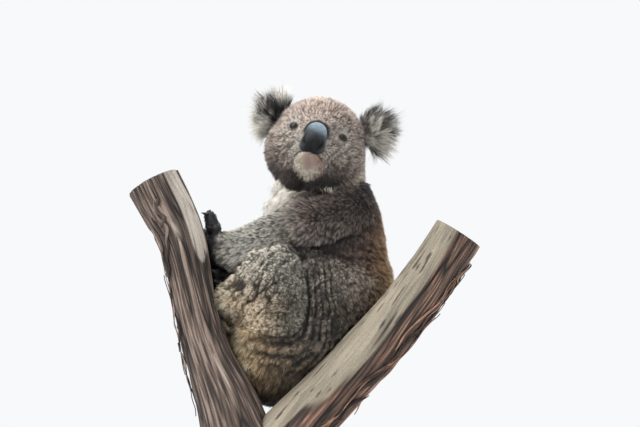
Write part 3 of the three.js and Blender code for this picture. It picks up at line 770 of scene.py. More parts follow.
def markings(skin):
    """The colour of the coat at each point of the skin."""
    points, on, lid = skin.points, skin.weight, skin.off_lid
    x, y, z = skin.own.T
    head, off_chin, height = on("head"), skin.off_chin, points[:, 2]
    colour = skin.share @ np.array([tone(*COAT[kind_of(node)][COLOUR]) for node in FLESH])

    def paint(mask, *rgb):
        nonlocal colour
        colour = blend(colour, tone(*rgb), np.clip(mask, 0, 1)[:, None])

    def near(node, at, reach, sizes=(1, 1, 1)):
        return hump(lengths((points - place(node, *at)) * sizes), reach * MM)

    paint(0.8 * on("abdomen") * ramp(height, 0.40, 0.31), *COAT["rump"][COLOUR])
    paint(0.8 * on("rump") * ramp(height, 0.25, 0.34), *COAT["abdomen"][COLOUR])
    views = {"both": np.stack([np.abs(x), y, z], axis=1), "one": skin.own}
    for view, share, centre, radii, rgb in FACE_PATCHES:
        paint(share * bell(views[view], centre, radii) * head, *rgb)
    # Painted shade under the jaw, where the head faces down.
    jaw = ramp(z - y * 0.5, -40, -58) * ramp(off_chin, 1.0, 1.25) * head
    paint((0.66 + 0.3 * ramp(x, -50, -12)) * jaw, 32, 27, 25)
    paint(0.95 * bell(skin.own, (44, -40, -80), (42, 46, 22)) * head * ramp(off_chin, 0.9, 1.3), 40, 34, 31)
    chin = ramp(off_chin, 1.2, 0.98) * (z < -52)
    paint(chin, 182, 153, 137)
    paint(0.95 * chin * ramp(off_chin, 0.3, 0.92) * ramp(x * 0.9 + z, -52, -72), 252, 240, 214)
    paint(ramp(skin.off_nose, 6, 3.5) * ramp(z, -30, -14), 26, 21, 20)
    paint(0.8 * ramp(lid, 3.3, 2.4) * ramp(np.abs(z + 3), 3, 8), 236, 228, 216)
    paint(0.9 * ramp(lid, 1.75, 1.5), 128, 114, 108)
    paint(ramp(lid, 1.36, 1.18), 24, 19, 18)
    paint(skin.mouth, 70, 48, 46)
    paint(skin.freckle * 1.3, 60, 48, 44)

    # The pale bib and collar, then the back, limbs and rump.
    bib = near("neck", (0.08, 0.40, 0.20), 58, (1, 0.75, 0.75)) * on(*TRUNK, "head")
    bib = np.clip(1.7 * bib - 0.15, 0, 1) * ramp(head, 0.75, 0.4)
    skin.bib = bib * ramp(points[:, 0] / MM, 26, 2) * ramp(on(*LIMBS), 0.5, 0.15)
    paint(skin.bib, 255, 248, 230)
    collar = ramp(skin.meet, 0.05, 0.4) * near("neck", (0.8, 0.05, 0.6), 60, (0.8, 1, 1.3))
    paint(0.8 * collar * ramp(head, 0.45, 0.75), 190, 178, 156)
    paint(0.75 * near("neck", (0.9, 0.35, 0.4), 66) * (1 - head), 48, 40, 38)
    paint(0.85 * on("forearm_left", "upper_arm_left") * ramp(points[:, 0] / MM, -80, 5), 116, 103, 96)
    paint(0.9 * near("chest", (1.0, 0.45, 0.1), 66, (1.7, 0.8, 0.7)) * on("chest", "abdomen"), 250, 200, 156)
    paint(0.5 * near("upper_arm_left", (0.75, 0.1, 0.1), 50) * on("chest", "upper_arm_left"), 88, 74, 68)
    paint(0.8 * near("thigh_left", (0.08, 0.2, 0.75), 42) * on("thigh_left", "shin_left"), 206, 199, 184)
    paint(0.85 * near("thigh_left", (0.56, 0.1, 0.38), 40) * on("thigh_left"), 86, 84, 78)
    paint(0.7 * near("chest", (0.62, 0.1, 0.85), 52) * on("chest", "neck", "upper_arm_left"), 62, 53, 50)
    paint(0.9 * near("thigh_left", (-0.05, 0.3, 0.2), 48) * (1 - on("forearm_left")), 250, 220, 184)
    seat = near("rump", (0.1, 0.2, 0.6), 58, (1.1, 0.6, 0.85))
    paint(seat * on("rump", "thigh_left", "shin_left"), 255, 214, 164)
    # Painted shade on the rump's underside.
    paint(0.9 * near("rump", (0.5, 0.4, -0.05), 74, (0.7, 0.6, 1.0)) * on("rump"), 42, 33, 24)
    paint(0.7 * near("rump", (0.85, 0.2, 0.6), 60) * on("rump", "abdomen"), 50, 45, 38)
    paint(0.75 * near("thigh_left", (0.55, 0.1, 0.16), 36) * on("thigh_left"), 110, 104, 90)
    paint(0.45 * skin.over_elbow, 150, 139, 130)

    # Mottle, a painted highlight on the ridges between the folds, and painted shade in the folds themselves.
    mottle = noise(points, 13, 5) * 0.4 + noise(points, 5, 6) * 0.6
    shade = (1 + (0.44 * mottle - 0.22) * (1 - skin.bib)) * (1 + 0.5 * skin.folded * (1 - skin.fold))
    # Painted shade in the folds, along the thigh's outline, in the cheek furrows, in the elbow's crease, under the
    # elbow and where limbs meet the trunk.
    painted_crease_shade = [0.94 * skin.fold, 0.97 * skin.rim, 0.66 * skin.furrow, 0.95 * skin.elbow, 0.6 * skin.under_elbow]
    painted_crease_shade.append(0.85 * ramp(skin.meet, 0.5, 0.9) * (1 - skin.bib))
    colour = colour * (shade * (1 - np.maximum.reduce(painted_crease_shade)))[:, None]
    return blend(colour, LEATHER, skin.bare_paw[:, None])


# ---------------------------------------------------------------- the lie of the coat
LIE = {"neck": (0.30, 0, -1), "chest": (0.25, 0, -1), "abdomen": (0.10, 0, -1), "rump": (-0.45, 0, -0.85)}
# The hair of a limb lies from one node towards the next, and sags.
CHAINS = {
    "upper_arm": ("upper_arm", "forearm", 0.45),
    "forearm": ("forearm", "hand", 0.45),
    "hand": ("forearm", "hand", 0.15),
    "thigh": ("thigh", "shin", 0.6),
    "shin": ("shin", "foot", 0.15),
    "foot": ("shin", "foot", 0.15),
}
MUZZLE_TIP = (0, -88, -22)  # where the head's hair parts


def lie_of_coat(skin):
    """The direction along the skin in which the hair at each point lies."""
    points = skin.points
    flow = np.zeros((len(points), 3))
    for index, node in enumerate(FLESH):
        kind = kind_of(node)
        side = node.removeprefix(kind)
        if kind == "head":
            along = unit(points - from_head(MUZZLE_TIP))
        elif kind == "ear":
            along = unit(points - ear_base(side.removeprefix("_")))
        elif kind in LIE:
            along = np.array(LIE[kind])
        else:
            first, second, sag = CHAINS[kind]
            along = unit(middle(second + side) - middle(first + side)) - np.array([0, 0, sag])
        flow += along * skin.share[:, index : index + 1]
    return unit(skin.net.spread(unit(level(flow, skin.normals)), 16))


# ---------------------------------------------------------------- tufts
PATCH = 0.003  # the size of a tuft's patch on the coat's map
MOST_TRIANGLES = 196000
BRIGHTEST, BIB_BRIGHTEST = np.array([0.86, 0.81, 0.72]), np.array([1.0, 0.96, 0.89])
STRAY = 0.34  # how far the tufts' directions scatter
TRIANGLE = [math.pi / 2, math.pi * 7 / 6, math.pi * 11 / 6]  # the corners of a tuft's section
FLATNESS = 0.8


def scatter(skin, density, chosen):
    """Roots of tufts on the chosen triangles: the corners of its triangle and their weights, for each."""
    a, b, c = (skin.points[skin.triangles[:, i]] for i in range(3))
    area = lengths(np.cross(b - a, c - a)) / 2
    wanted = area * np.maximum(density, 0)[skin.triangles].mean(axis=1) * 1e4 * chosen
    count = np.floor(wanted + random.random(len(wanted))).astype(int)
    owner = np.repeat(np.arange(len(count)), count)
    u, v = random.random((2, len(owner)))
    over = u + v > 1
    u[over], v[over] = 1 - u[over], 1 - v[over]
    return skin.triangles[owner], np.stack([1 - u - v, u, v], axis=1)


def unwrap(roots, owners):
    """A place for each root on a flat map: each node's surface unrolled round its long axis, on its own tile."""
    names = sorted(set(owners.tolist()))
    across = math.ceil(math.sqrt(len(names)))
    flat = np.zeros((len(roots), 2))
    for tile, index in enumerate(names):
        mine = owners == index
        solid, _ = solid_of(FLESH[index])
        centre = solid.mean(axis=0)
        _, _, axes = np.linalg.svd(solid - centre, full_matrices=False)
        spots = (roots[mine] - centre) @ axes.T
        reach = ((solid - centre) @ axes.T)[:, 0]
        around = np.arctan2(spots[:, 1], spots[:, 2]) / (2 * math.pi) + 0.5
        along = np.clip((spots[:, 0] - reach.min()) / np.ptp(reach), 0, 1)
        flat[mine] = (np.stack([around, along], axis=1) * 0.96 + 0.02 + [tile % across, tile // across]) / across
    return flat


def leaders(roots, each):
    """For each root the nearest of the roots that lead a clump, one in so many."""
    chosen = random.permutation(len(roots))[: max(1, int(len(roots) / each))]
    tree = KDTree(len(chosen))
    for index, point in zip(chosen.tolist(), roots[chosen].tolist()):
        tree.insert(point, index)
    tree.balance()
    return np.array([tree.find(point)[1] for point in roots.tolist()])


def tuft_mesh(name, roots, tips, normals, width, bow, colours, flat, rings):
    """Many tapered locks: each a three-sided cone from the skin to its tip. colours: at root and tip."""
    path = tips - roots
    arch = normals * np.linalg.norm(path, axis=1, keepdims=True) * bow
    across = unit(np.cross(normals, path))
    sections, tones, places = [], [], []
    for share in np.linspace(0, 1, rings + 1):
        line = roots + path * share + arch * 4 * share * (1 - share) - normals * (0.5 * MM) * (share == 0)
        half = width[:, None] / 2 * (1 - share) ** 0.7
        turns = TRIANGLE if share < 1 else [0]
        sections += [line + half * (across * math.cos(t) + normals * FLATNESS * math.sin(t)) for t in turns]
        tones += [blend(*colours, share**0.8)] * len(turns)
        places += [(spot * 0.4 * PATCH, (share - 0.5) * PATCH) for spot in (0, -1, 1)[: len(turns)]]
    pattern = []
    for low in range(0, rings * 3, 3):
        for side in range(3):
            a, b, c, d = low + side, low + (side + 1) % 3, low + 3 + side, low + 3 + (side + 1) % 3
            pattern += [(a, b, low + 3)] if low == rings * 3 - 3 else [(a, b, d), (a, d, c)]
    points = np.stack(sections, axis=1).reshape(-1, 3)
    triangles = (np.arange(len(roots))[:, None, None] * len(sections) + np.array(pattern)).reshape(-1, 3)
    mesh = mesh_of(name, points, triangles, np.stack(tones, axis=1).reshape(-1, 3))
    spots = (flat[:, None, :] + np.array(places)[None]).reshape(-1, 2)
    mesh.uv_layers.new(name="OFBake").data.foreach_set("uv", spots[triangles.ravel()].astype(np.float32).ravel())
    return mesh


def grow(skin, name, body_slot, material, density, chosen, lie, colours, look, ends=None):
    """One piece of tufts. look: length, width and lift of a tuft, its rings and bow, the tufts to a clump, how far
    a clump's tips draw together, and how its clumps differ in tone. ends: the colour of the tips, if it differs."""
    length, width, lift, rings, bow, each, pull, uneven = look
    corners, weights = scatter(skin, density, chosen)
    most = MOST_TRIANGLES // (6 * rings - 3)
    if len(corners) > most:
        kept = np.sort(random.permutation(len(corners))[:most])
        corners, weights = corners[kept], weights[kept]

    def here(values):
        everywhere = np.broadcast_to(values, (len(skin.points), *np.shape(values)[1:]))
        return np.einsum("nc,nc...->n...", weights, everywhere[corners])

    roots, normals, along = here(skin.points), unit(here(skin.normals)), unit(here(lie))
    along = unit(level(along + random.normal(0, STRAY, roots.shape), normals))
    angle = np.radians(here(lift) * random.uniform(0.75, 1.25, len(roots)))[:, None]
    sizes = here(length) * MM * random.uniform(0.72, 1.22, len(roots))
    tips = roots + (along * np.cos(angle) + normals * np.sin(angle)) * sizes[:, None]
    lead = leaders(roots, each)
    gap = lengths(roots - roots[lead])
    tips = blend(tips, tips[lead], (pull * (1 - 0.6 * here(skin.folded)))[:, None])
    shade = random.normal(1, uneven, len(roots)).clip(0.35, 1.75)[lead] * random.normal(1, 0.08, len(roots))
    # Painted shade in the coat: the gaps between the clumps are darker than their middles, and each tuft is darker at
    # its root than at its tip, but the bib is pale all through.
    shade = shade * blend(1.26, max(0.42, 1 - 1.8 * uneven), ramp(gap / np.percentile(gap, 90), 0.3, 1.0))
    pure = here(skin.bib)[:, None]
    body = here(colours) * blend(shade[:, None], 1.25, 0.85 * pure)
    tip = body * 1.25 if ends is None else here(ends)[lead] * shade[:, None]
    most_bright = blend(BRIGHTEST, BIB_BRIGHTEST, pure)
    # Painted shade at the roots, less of it on the bib.
    tones = np.minimum(body * (0.42 + 0.58 * pure), most_bright), np.minimum(tip, most_bright)
    flat = unwrap(roots, skin.owner[corners[:, 0]])
    piece(tuft_mesh(name, roots, tips, normals, here(width) * MM, bow, tones, flat, rings), material, body_slot)


# Each piece of coat: its nodes, its slot, the tufts to a clump, and how its clumps differ in tone.
COAT_PIECES = {
    "coat_head": (["head"], "coat_head", 7.5, 0.36),
    "coat_ears": (EARS, "coat_ears", 14, 0.22),
    "coat_neck": (["neck"], "coat_back", 15, 0.36),
    "coat_chest": (["chest"], "coat_back", 14, 0.4),
    "coat_flank": (["abdomen"], "coat_back", 10, 0.52),
    "coat_near_arm": (["upper_arm_left", "forearm_left", "hand_left"], "coat_limbs", 11, 0.5),
    "coat_far_arm": (["upper_arm_right", "forearm_right", "hand_right"], "coat_limbs", 16, 0.26),
    "coat_near_leg": (["thigh_left", "shin_left", "foot_left"], "coat_limbs", 9, 0.52),
    "coat_far_leg": (["thigh_right", "shin_right", "foot_right"], "coat_limbs", 16, 0.26),
    "coat_rump": (["rump"], "coat_rump", 13, 0.42),
}
RUFF = tone(204, 192, 172)


def build_coat(skin, colours, material):
    lie = lie_of_coat(skin)
    face_owner = skin.owner[skin.triangles[:, 0]]
    for name, (nodes, body_slot, each, uneven) in COAT_PIECES.items():
        chosen = np.isin(face_owner, [FLESH.index(node) for node in nodes])
        look = (skin.length, skin.width, skin.lift, 1, 0, each, 0.55, uneven)
        grow(skin, name, body_slot, material, skin.density * (1 - 0.7 * skin.bib), chosen, lie, colours, look)
    # Longer hair over it: the bib, the shaggy seat, and the ruff under the cheek.
    shaggy = np.clip(1.6 * skin.weight("rump") * ramp(skin.points[:, 1] / MM, 10, -30), 0, 1)
    shaggy = shaggy * (1 - skin.folded) * ramp(skin.points[:, 2] / MM, 320, 280)
    longer = {
        "coat_bib": ("coat_back", 60 * skin.bib, colours, (22, 1.2, 26, 2, 0.05, 22, 0.5, 0.05)),
        "coat_seat": ("coat_rump", 13 * shaggy, colours * 1.35, (19, 1.0, 30, 2, 0.04, 8, 0.5, 0.35)),
        "coat_ruff": ("coat_head", 56 * skin.ruff, RUFF + 0 * colours, (13, 1.0, 30, 2, 0.04, 8, 0.5, 0.2)),
    }
    for name, (body_slot, density, body, look) in longer.items():
        grow(skin, name, body_slot, material, density, True, lie, body, look)
    for side in SIDES:
        build_fringe(skin, side, material)


DARK, PALE = tone(44, 41, 40), tone(222, 217, 206)
FRINGE_LENGTH = {"right": 21, "left": 26}  # how much longer than 20 mm it is at the rim


def build_fringe(skin, side, material):
    """The long hair that radiates from an ear's rim, in dark and pale locks."""
    away = skin.points - ear_base(side)
    reach, mine = lengths(away), skin.weight(f"ear_{side}")
    tip = reach[mine > 0.5].max()
    x, _, z = (away @ HEAD_TURN / tip).T
    pale = 0.27 + 0.75 * ramp(z, 0.25, -0.45)
    if side == "left":
        pale = 0.38 + 0.48 * hump(z + 0.05, 0.3) - 0.75 * ramp(z, -0.3, -0.6)
    pick = ramp(noise(skin.points, 5, 11) + pale - 0.5, 0.42, 0.58)
    ends = blend(DARK, PALE, pick[:, None])
    body = blend(DARK, PALE, (0.45 * pick * ramp(x * SIDES[side], 0.3, 0.8))[:, None])
    flow = unit(level(unit(away) + np.array([0, 0, -0.16]), skin.normals, 0.8))
    long = (20 + FRINGE_LENGTH[side] * ramp(reach / tip, 0.45, 0.95)) * (0.76 + 0.4 * noise(skin.points, 9, 14))
    look = (long, 0.95, 20, 2, 0.03, 12, 0.55, 0.18)
    density = 115 * ramp(reach / tip, 0.2, 0.7) * mine
    grow(skin, f"fringe_{side}", "coat_ears", material, density, True, flow, body, look, ends)


# ---------------------------------------------------------------- eyes, nose and claws
EYE_TONES = {"ball": tone(30, 22, 19), "iris": tone(36, 26, 20), "pupil": tone(5, 4, 4)}
IRIS_RADIUS, PUPIL_WIDTH, PUPIL_HEIGHT = 5.2, 2.2, 3.1


def build_eyes():
    material = coloured("eye_gloss", 0.05, 0.06, 0, 900.0, Coat_Weight=0.15, Coat_Roughness=0.03, IOR=1.3)
    polar, turn = np.meshgrid(np.linspace(0.02, math.pi - 0.02, 44), circle(64), indexing="ij")
    for side in SIDES:
        centre = middle(f"eye_{side}")
        *_, axes = eye_view(centre[None], side)
        size = eye_radius(side) * 0.99 + 0.5 * ramp(np.degrees(polar), 48, 20)
        way = np.stack([np.sin(polar) * np.cos(turn), np.sin(polar) * np.sin(turn), np.cos(polar)], axis=2)
        points, quads = tube(centre + size[..., None] * way @ axes * MM)
        x, y, out = (size[..., None] * way).reshape(-1, 3).T
        r, around = np.hypot(x, y), turn.ravel()
        streaks = cell_noise(np.stack([np.cos(around) * 6, np.sin(around) * 6, r * 0.3], axis=1), 15)
        iris = EYE_TONES["iris"] * (0.5 + 0.8 * streaks)[:, None]
        share = ramp(r, IRIS_RADIUS + 0.4, IRIS_RADIUS - 0.4) * (out > 0)
        colour = blend(EYE_TONES["ball"], iris, share[:, None])
        share = ramp(np.hypot(x / PUPIL_WIDTH, y / PUPIL_HEIGHT), 1.2, 0.9) * (out > 0)
        colour = blend(colour, EYE_TONES["pupil"], share[:, None])
        piece(mesh_of(f"eyeball_{side}", points, quads, colour), material, "eye", f"eye_{side}")


def build_nose():
    bm = bmesh.new()
    bmesh.ops.create_icosphere(bm, subdivisions=5, radius=1)
    ways = np.array([vertex.co for vertex in bm.verts])
    triangles = np.array([[vertex.index for vertex in face.verts] for face in bm.faces])
    bm.free()
    low, high = np.zeros(len(ways)), np.full(len(ways), float(NOSE_REACH))
    for _ in range(24):
        half = (low + high) / 2
        inside = nose_field(np.array(NOSE_MIDDLE) + ways * half[:, None]) < 0
        low, high = np.where(inside, half, low), np.where(inside, high, half)
    own = np.array(NOSE_MIDDLE) + ways * low[:, None]
    x, y, z = own.T
    # Each nostril is a comma-shaped slit at the lower side, under a rounded wing.
    gap_x, gap_z = np.abs(x) - 14.5, z + 45
    along, beside = gap_x * 0.35 + gap_z * 0.94, gap_x * 0.94 - gap_z * 0.35 + (gap_z / 9) ** 2 * 2.5
    front = y < -80
    slit = hump(along, 7.5) * hump(beside, 2.0) * front
    wing = hump(along, 9) * hump(beside - 4, 3.0) * front
    cleft = hump(x, 1.4) * ramp(z, -44, -54) * front
    flat_top = hump(x, 11) * hump(z + 14, 14) * front
    pebbles = noise(own * MM, 2.2, 16) - 0.5
    rise = -5.0 * slit + 1.1 * wing - 1.4 * cleft - 0.8 * flat_top + 0.25 * pebbles
    own = own + corner_normals(own, triangles) * rise[:, None]
    # Painted sky reflection and painted shade over the leather's own dark tone: grey-blue where it faces the sky, near
    # black below.
    metres = own * MM
    height = z + 0.25 * x + 5 * (noise(metres, 11, 18) - 0.5)
    colour = blend(tone(44, 51, 57), tone(118, 133, 144), ramp(height, -26, -8)[:, None])
    colour = blend(tone(21, 22, 24), colour, ramp(height, -36, -20)[:, None])
    colour = colour * ((0.82 + 0.36 * noise(metres, 5, 17)) * (0.9 + 0.4 * pebbles))[:, None]
    # A painted highlight on the rounded wings, and painted shade in the nostrils' slits and the cleft.
    colour = blend(colour, tone(74, 78, 82), 0.6 * wing[:, None])
    colour = blend(colour, tone(3, 3, 3), np.clip(1.6 * slit + 0.6 * cleft, 0, 1)[:, None])
    gloss = {"rough_range": (0.36, 0.55), "Specular_IOR_Level": 0.12}
    material = coloured("nose_leather", 0.42, 0.14, 0.4, 1500.0, **gloss)
    piece(mesh_of("nose_leather", from_head(own), triangles, colour), material, "nose_skin", "nose")


def claw_line(node):
    """The middle of a claw's root, of its bend and of its tip, from its CAD solid."""
    points, _ = solid_of(node)
    spacing = np.sort(np.linalg.norm(points[:, None] - points[None], axis=2), axis=1)[:, 1:4].mean(axis=1)
    tip = points[spacing.argmin()]
    reach = lengths(points - tip)
    root = points[reach > reach.max() * 0.8].mean(axis=0)
    bend = points[(reach <= reach.max() * 0.8) & (reach > 2 * MM)]
    return root, bend.mean(axis=0) if len(bend) else (root + tip) / 2, tip


def claw(node, sides=12):
    root, bend, tip = claw_line(node)
    root = root + (root - bend) / np.linalg.norm(root - bend) * 3 * MM
    pull = 2 * bend - (root + tip) / 2
    t = np.linspace(0, 1, 14)[:, None]
    path = (1 - t) ** 2 * root + 2 * t * (1 - t) * pull + t**2 * tip
    flat = unit(np.cross(bend - root, tip - root))
    deep = unit(np.cross(unit(np.gradient(path, axis=0)), flat))
    turn = circle(sides)[None, :, None]
    size = (4.5 * (1 - t**3) ** 0.9 + 0.2) * MM
    rings = path[:, None] + size[:, None] * (np.cos(turn) * flat * 0.72 + np.sin(turn) * deep[:, None])
    return *tube(rings), np.repeat(blend(tone(16, 15, 16), tone(40, 36, 34), t**3), sides, axis=0)


def build_claws():
    material = coloured("claw_horn", 0.28, 0.15, 0.2, 700.0, rough_range=(0.2, 0.42))
    piece(mesh_of("claw_horn", *gathered([claw(node) for node in CLAWS])), material, "claws", *CLAWS)


# ---------------------------------------------------------------- the perch
# Stations along the axis of each limb of wood, as in the CAD: x, y, z and radius in mm.
STEM = [
    (-58, -28, 60, 66),
    (-92, -30, 140, 58),
    (-113, -30, 210, 50),
    (-142, -32, 272, 40),
    (-161, -36, 334, 35),
    (-173, -40, 397, 35),
    (-185, -44, 460, 39),
    (-202, -46, 494, 43),
    (-244, -50, 573, 45),
]
BRANCH = [
    (-70, -28, 96, 48),
    (-22, -33, 150, 51),
    (35, -38, 206, 48),
    (95, -52, 270, 46),
    (159, -66, 340, 43),
    (218, -80, 419, 41),
    (262, -90, 488, 40),
]
FOOT_CUT = ((0, 0, 88), (0, 0, -1))
STEM_CUT = ((-232, -50, 552), (-0.47, -0.03, 0.88))
BRANCH_CUT = ((246, -86, 463), (0.54, -0.12, 0.83))
FACET = 0.985  # the round bark's radius against that of the CAD's flat-sided one
STEP = 4.6 * MM
BARK_SIDES = 256
# The tones of bark in its hollows, body and ridges, in its cracks, and where it has fallen.
STEM_BARK = [tone(42, 32, 27), tone(82, 68, 60), tone(132, 115, 104), tone(22, 17, 14), tone(176, 166, 154)]
BRANCH_BARK = [tone(46, 35, 30), tone(92, 70, 58), tone(152, 116, 96), tone(20, 16, 14), tone(136, 127, 111)]
SAWN_WOOD = tone(164, 134, 100)
GROWTH_RINGS = 18
STRIP_SECTION = [(-1, 0), (-0.5, 0.5), (0, 0.7), (0.5, 0.5), (1, 0), (0.5, -0.5), (0, -0.7), (-0.5, -0.5)]


class Wood:
    """A limb of wood: its axis in close steps, with its radius and a level frame at each."""

    def __init__(self, stations):
        stations = np.array(stations, float) * MM
        knots = np.concatenate([[0], np.cumsum(lengths(np.diff(stations[:, :3], axis=0)))])
        self.length = np.arange(0, knots[-1], STEP)
        fine = np.stack([np.interp(self.length, knots, column) for column in stations.T], axis=1)
        for _ in range(60):  # rounds off the bends at the stations
            fine[1:-1] = (fine[:-2] + 2 * fine[1:-1] + fine[2:]) / 4
        self.axis, self.radius = fine[:, :3], fine[:, 3] * FACET
        self.along = unit(np.gradient(self.axis, axis=0))
        self.side = unit(level(np.array([[0, -1.0, 0]]), self.along))  # angle 0 faces the front
        self.across = np.cross(self.along, self.side)


def wrapped(angle):
    return np.angle(np.exp(1j * angle))


def stem_bare(angle, length, mottle):
    """A long smooth scar on the side that faces the animal, near the top, and flecks elsewhere."""
    scar = hump(wrapped(angle - 0.85), 0.42) * ramp(length, 0.34, 0.42)
    return np.clip(ramp(scar + 0.6 * mottle, 0.66, 0.8) + ramp(mottle, 0.78, 0.84) * 0.5, 0, 1)


def branch_bare(angle, length, mottle):
    """Smooth along the upper side; fibrous bark still hangs on the lower side."""
    return ramp(np.cos(angle + 1.25) + 1.3 * (mottle - 0.5) - 0.5 * ramp(length, 0.2, 0.05), 0.12, 0.3)


def stem_hold(angle, length):
    """Where the paws hold, the bark stays low: the half towards the animal and round behind."""
    return ramp(np.cos(angle - 2.0), -0.45, -0.1)


def branch_hold(angle, length):
    """Where the animal leans on the branch, the bark stays low."""
    return ramp(np.cos(angle + 1.57), 0.1, 0.5) * ramp(length, 0.45, 0.35)


def bark_surface(wood, twist, bare_mask, palette, seed, hold):
    """The limb's bark: long fibrous plates and cracks that run along it, smooth where the bark has fallen."""
    count = len(wood.length)
    angle = circle(BARK_SIDES)[None] + np.zeros((count, 1))
    out = wood.side[:, None] * np.cos(angle)[..., None] + wood.across[:, None] * np.sin(angle)[..., None]
    base = (wood.axis[:, None] + out * wood.radius[:, None, None]).reshape(-1, 3)
    around, length = angle.ravel(), np.repeat(wood.length, BARK_SIDES)
    wound = around + twist * length + 0.28 * (noise(base, 75, seed) - 0.5)
    radius = wood.radius.mean()

    def grain(size, stretch, number):
        """Noise drawn out along the limb, seamless round it."""
        ring = np.stack([np.cos(wound) * radius, np.sin(wound) * radius, length / stretch], axis=1)
        return noise(ring, size, seed + number)

    wide, plates, fibres, hairs = grain(15, 11, 1), grain(7, 16, 2), grain(3.2, 16, 3), grain(1.6, 18, 4)
    crack = np.maximum(hump(wide - 0.5, 0.045), 0.85 * hump(plates - 0.5, 0.075) * ramp(wide, 0.3, 0.6))
    mottle = grain(22, 4, 5)
    smooth = bare_mask(around, length, mottle * 0.6 + plates * 0.4)
    relief = 2.2 * (wide - 0.6) + 1.6 * (plates - 0.6) + 1.1 * (fibres - 0.5) - 2.6 * crack - 0.5
    relief = relief * (1 - 0.85 * smooth) - 1.3 * smooth
    relief = blend(relief, np.minimum(relief, 0.3), hold(around, length))
    lobes = 1 + 0.02 * np.sin(3 * angle + wood.length[:, None] * 9)
    points = wood.axis[:, None] + out * (wood.radius[:, None] * lobes + relief.reshape(angle.shape) * MM)[..., None]

    dark, body, light, groove, bare = palette
    value = 0.44 + 0.9 * (fibres - 0.5) + 1.0 * (hairs - 0.5) + 0.45 * (plates - 0.5) + 0.3 * (mottle - 0.5)
    value = np.clip(value, 0, 1)[:, None]
    colour = blend(blend(dark, body, ramp(value, 0.1, 0.5)), light, ramp(value, 0.5, 0.9))
    colour = blend(colour, bare * (0.42 + 0.6 * mottle + 0.5 * hairs)[:, None], smooth[:, None])
    colour = blend(colour, groove, np.clip(crack * (1 - 0.72 * smooth), 0, 1)[:, None])
    marks = ramp(grain(4.2, 5, 6), 0.79, 0.85) * smooth
    return points.reshape(-1, 3), ring_quads(count, BARK_SIDES), blend(colour, dark, 0.85 * marks[:, None])


def sawn(mesh, cuts):
    """Cuts the mesh at each plane and closes it with a flat sawn face of growth rings and radial checks."""
    bm = bmesh.new()
    bm.from_mesh(mesh)
    layer = bm.verts.layers.float_color["Col"]
    for at, out in cuts:
        at, out = Vector(at) * MM, Vector(out).normalized()
        everything = bm.verts[:] + bm.edges[:] + bm.faces[:]
        found = bmesh.ops.bisect_plane(bm, geom=everything, plane_co=at, plane_no=out, clear_outer=True)
        rim = [edge for edge in found["geom_cut"] if isinstance(edge, bmesh.types.BMEdge)]
        spots = np.array([vertex.co for vertex in {vertex for edge in rim for vertex in edge.verts}])
        heart = spots.mean(axis=0)
        across = np.cross(out, (0.1, 1, 0.2))
        away = spots - heart
        turn = np.arctan2(away @ np.cross(out, across), away @ across)
        away = away[turn.argsort()]
        checks = hump(np.sin(np.sort(turn) * 2.5 + 1), 0.09)
        last = None
        for number, share in enumerate(np.linspace(1, 0.03, GROWTH_RINGS)):
            shade = (1.1 if number % 2 else 0.72) * (1 - 0.45 * checks * ramp(share, 0.25, 0.7))
            shade = shade * (0.72 if number < 2 else 1)
            ring = [bm.verts.new(heart + spot * share) for spot in away]
            for vertex, value in zip(ring, shade):
                vertex[layer] = (*(SAWN_WOOD * value), 1)
            for k in range(len(ring) if last else 0):
                following = (k + 1) % len(ring)
                bm.faces.new((last[k], last[following], ring[following], ring[k]))
            last = ring
        bm.faces.new(last)
    bmesh.ops.triangulate(bm, faces=bm.faces[:])
    bm.to_mesh(mesh)
    bm.free()
    mesh.polygons.foreach_set("use_smooth", np.ones(len(mesh.polygons), bool))
    return mesh


def peeling(wood, first, last, angle, width, turn, lifts, colour, seed):
    """A strip of loose bark along the limb, from one share of its length to another, lifting at its ends."""
    steps = slice(int(first * len(wood.length)), int(last * len(wood.length)))
    t = np.linspace(0, 1, len(wood.length[steps]))
    around = (angle + turn * t + 0.10 * np.sin(t * 9 + seed))[:, None]
    out = wood.side[steps] * np.cos(around) + wood.across[steps] * np.sin(around)
    beside = np.cross(wood.along[steps], out)
    lift = 1.2 + lifts[0] * ramp(t, 0.18, 0.0) + lifts[1] * ramp(t, 0.82, 1.0) + 0.9 * np.sin(t * 17 + seed)
    path = wood.axis[steps] + out * (wood.radius[steps] + lift * MM)[:, None]
    half = width / 2 * (0.25 + 0.75 * ramp(t, 0, 0.15) * ramp(t, 1, 0.82)) * (0.8 + 0.35 * np.sin(t * 11 + seed))
    half, curl = (half * MM)[:, None], (0.35 + 0.3 * np.sin(t * 5 + seed))[:, None]
    rows = [
        path + beside * half * share + out * (thick * MM - curl * share**2 * half * 0.6)
        for share, thick in STRIP_SECTION
    ]
    points, quads = tube(np.stack(rows, axis=1))
    return points, quads, colour * (0.6 + 0.8 * noise(points * [1, 1, 0.4], 5, seed))[:, None]


